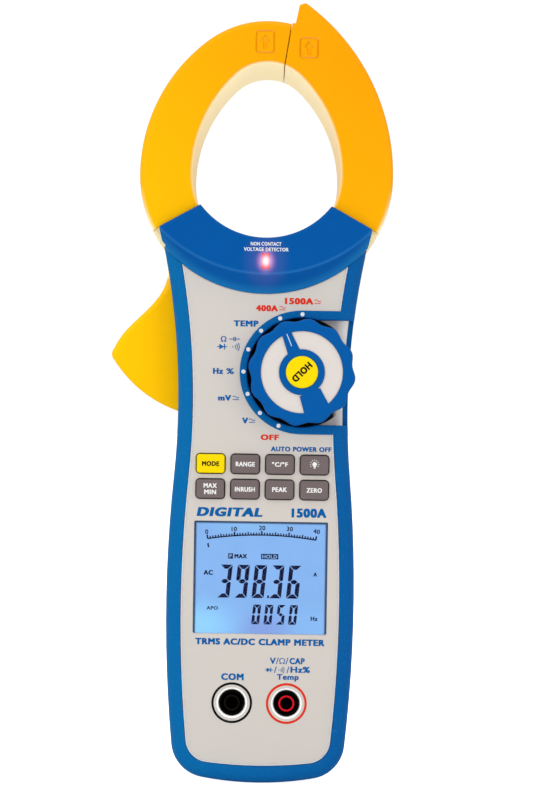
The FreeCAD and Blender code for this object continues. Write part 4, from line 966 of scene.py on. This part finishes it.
def digit(sheet, value, centre, width, height, stroke, lean):
    """One seven-segment figure with mitred, slightly parted segments."""
    gap = stroke * 0.12
    half = stroke / 2
    side, top = width / 2, height / 2
    inner_side, inner_top = side - stroke, top - stroke
    end = inner_side - gap
    upper = [
        (side, top - gap), (side, half * 0.6), (side - half, gap),
        (inner_side, half + gap), (inner_side, inner_top - gap),
    ]
    lower = [(x, -z) for x, z in upper]
    ceiling = [(gap - side, top), (side - gap, top), (end, inner_top), (-end, inner_top)]
    tip = side - half - gap
    shapes = {
        "a": ceiling,
        "b": upper,
        "c": lower,
        "d": [(x, -z) for x, z in ceiling],
        "e": [(-x, z) for x, z in lower],
        "f": [(-x, z) for x, z in upper],
        "g": [(-tip, 0), (-end, half), (end, half), (tip, 0), (end, -half), (-end, -half)],
    }
    for name in SEGMENTS[value]:
        sheet.outline([near(centre, x + z * lean, z) for x, z in shapes[name]])


def bar_graph(sheet):
    """Curved scale from 0 to 40 above the figures, and the one bar lit below it."""
    divisions = 40
    radius = 128.0
    half_length = 20.3
    centre = near(WINDOW, 0.3, 15.75 - radius)
    reach = math.degrees(math.asin(half_length / radius))
    sheet.arc(centre, radius, 0.5, 90 - reach, 90 + reach, divisions)
    for step in range(divisions + 1):
        turn = math.radians(90 + reach - 2 * reach * step / divisions)
        heading = Vector((math.cos(turn), math.sin(turn)))
        length, width = 0.9, 0.5
        if step % 10 == 0:
            length, width = 1.5, 0.58
        elif step % 5 == 0:
            length = 1.2
        foot = Vector(centre) + heading * radius
        sheet.bar(foot, foot + heading * length, width)
    numbers = (
        ("0", -20.4, 16.7, 4),
        ("10", -10.1, 17.9, 2),
        ("20", 0.4, 18.4, 0),
        ("30", 10.8, 18.2, -5),
        ("40", 20.9, 17.4, -9),
    )
    for words, x, z, angle in numbers:
        sheet.text(words, near(WINDOW, x, z), 1.7, None, LIGHT, angle)
    sheet.bar(near(WINDOW, -19.9, 12.4), near(WINDOW, -19.6, 10.9), 0.6)


def display_print():
    """The figures and signs that the lit display shows."""
    thickness = 0.03
    face = front_of("display_glass")
    dark_ink = ink("lcd_dark", LCD_DARK, 0.6)
    dark = Print("display_segments", "casing", dark_ink, "component_black", face, thickness)
    lean = math.tan(math.radians(5.6))
    for index, value in enumerate("39836"):
        digit(dark, value, near(WINDOW, -13.3 + 6.48 * index, -1.75), 4.6, 12.4, 1.55, lean)
    point = near(WINDOW, 3.0, -7.4)
    dark.outline([near(point, x, z) for x, z in ((-0.4, -0.5), (0.35, -0.5), (0.45, 0.5), (-0.3, 0.5))])
    for index, value in enumerate("0050"):
        digit(dark, value, near(WINDOW, -1.35 + 4.62 * index, -14.1), 3.0, 7.4, 1.12, lean)
    bar_graph(dark)
    dark.text("MAX", near(WINDOW, -7.5, 7.7), 1.6, 4.7, 0.06)
    dark.text("AC", near(WINDOW, -19.6, 1.4), 1.8, 3.5, 0.06)
    dark.text("A", near(WINDOW, 20.6, 1.2), 1.5, 1.4, 0.06)
    dark.text("APO", near(WINDOW, -17.9, -11.9), 1.35, 4.3, 0.035)
    dark.text("Hz", near(WINDOW, 20.4, -15.4), 1.6, 2.6, 0.055)
    middle = 7.7
    box_height = 2.0
    light_ink = ink("lcd_light", srgb(150, 196, 245), 0.6)
    light = Print("display_knockouts", "casing", light_ink, "display_glass", face - 0.08, thickness)
    for words, x, box_width, text_width in (("P", -11.3, 1.8, 0.9), ("HOLD", 3.4, 6.5, 5.6)):
        left, right = near(WINDOW, x - box_width / 2, middle), near(WINDOW, x + box_width / 2, middle)
        dark.bar(left, right, box_height)
        light.text(words, near(WINDOW, x, middle), 1.4, text_width, LIGHT)
    dark.place()
    light.place()


# Studio.


def stage_floor():
    """Plain pale floor under the meter, white to the camera."""
    half = 6.0
    height = cad_box[0].z
    corners = [(x * half, y * half, height) for x, y in ((-1, -1), (1, -1), (1, 1), (-1, 1))]
    mesh = bpy.data.meshes.new("floor")
    mesh.from_pydata(corners, [], [(0, 1, 2, 3)])
    s = Shader("floor_paint")
    paint = s.mix(srgb(246, 246, 246), srgb(250, 250, 250), s.noise(300.0))
    seen = s.node("LightPath").outputs["Is Camera Ray"]
    lift = s.node("Emission", Color=paint, Strength=seen)
    lit = s.node("AddShader")
    s.feed(lit.inputs[0], s.node("BsdfDiffuse", Color=paint).outputs[0])
    s.feed(lit.inputs[1], lift.outputs[0])
    mesh.materials.append(s.surface(lit.outputs[0]))
    floor = bpy.data.objects.new("floor", mesh)
    bpy.context.scene.collection.objects.link(floor)


def studio_light():
    """Soft boxes to the left, right and above: place and size in metres, power in watts."""
    target = Vector((0.0, 0.0, -0.08))
    boxes = (
        ("left_box", (-0.9, -0.9, 0.5), 0.9, 5.0),
        ("right_box", (1.0, -0.8, 0.25), 0.8, 3.0),
        ("top_box", (0.0, -0.3, 1.2), 0.9, 4.0),
    )
    for name, place, size, power in boxes:
        data = bpy.data.lights.new(name, "AREA")
        data.size = size
        data.energy = power
        lamp = bpy.data.objects.new(name, data)
        lamp.location = place
        lamp.rotation_euler = (target - Vector(place)).to_track_quat("-Z", "Y").to_euler()
        bpy.context.scene.collection.objects.link(lamp)


def pale_room():
    """White to the camera, and an even, dimmer white as a light."""
    world = bpy.data.worlds.new("pale_room")
    world.use_nodes = True
    tree = world.node_tree
    tree.nodes.clear()
    output = tree.nodes.new("ShaderNodeOutputWorld")
    path = tree.nodes.new("ShaderNodeLightPath")
    blend = tree.nodes.new("ShaderNodeMixShader")
    for socket, strength in ((1, 0.62), (2, 1.05)):
        background = tree.nodes.new("ShaderNodeBackground")
        background.inputs["Color"].default_value = (1.0, 1.0, 1.0, 1.0)
        background.inputs["Strength"].default_value = strength
        tree.links.new(background.outputs[0], blend.inputs[socket])
    tree.links.new(path.outputs["Is Camera Ray"], blend.inputs[0])
    tree.links.new(blend.outputs[0], output.inputs[0])
    bpy.context.scene.world = world


def camera():
    """Long lens straight in front of the meter, rolled by a degree."""
    data = bpy.data.cameras.new("camera")
    data.lens = 72.4
    data.sensor_width = 36.0
    data.clip_start = 0.01
    data.clip_end = 50.0
    made = bpy.data.objects.new("camera", data)
    place = Matrix.Translation((0.00127, -0.620, -0.08408))
    level = Matrix.Rotation(math.radians(90), 4, "X")
    roll = Matrix.Rotation(math.radians(0.9), 4, "Z")
    made.matrix_world = place @ level @ roll
    bpy.context.scene.collection.objects.link(made)
    bpy.context.scene.camera = made


paint_frame()
panel_print()
collar_print()
knob_print()
key_print()
display_print()
stage_floor()
studio_light()
pale_room()
camera()
bpy.context.scene.view_settings.view_transform = "Standard"
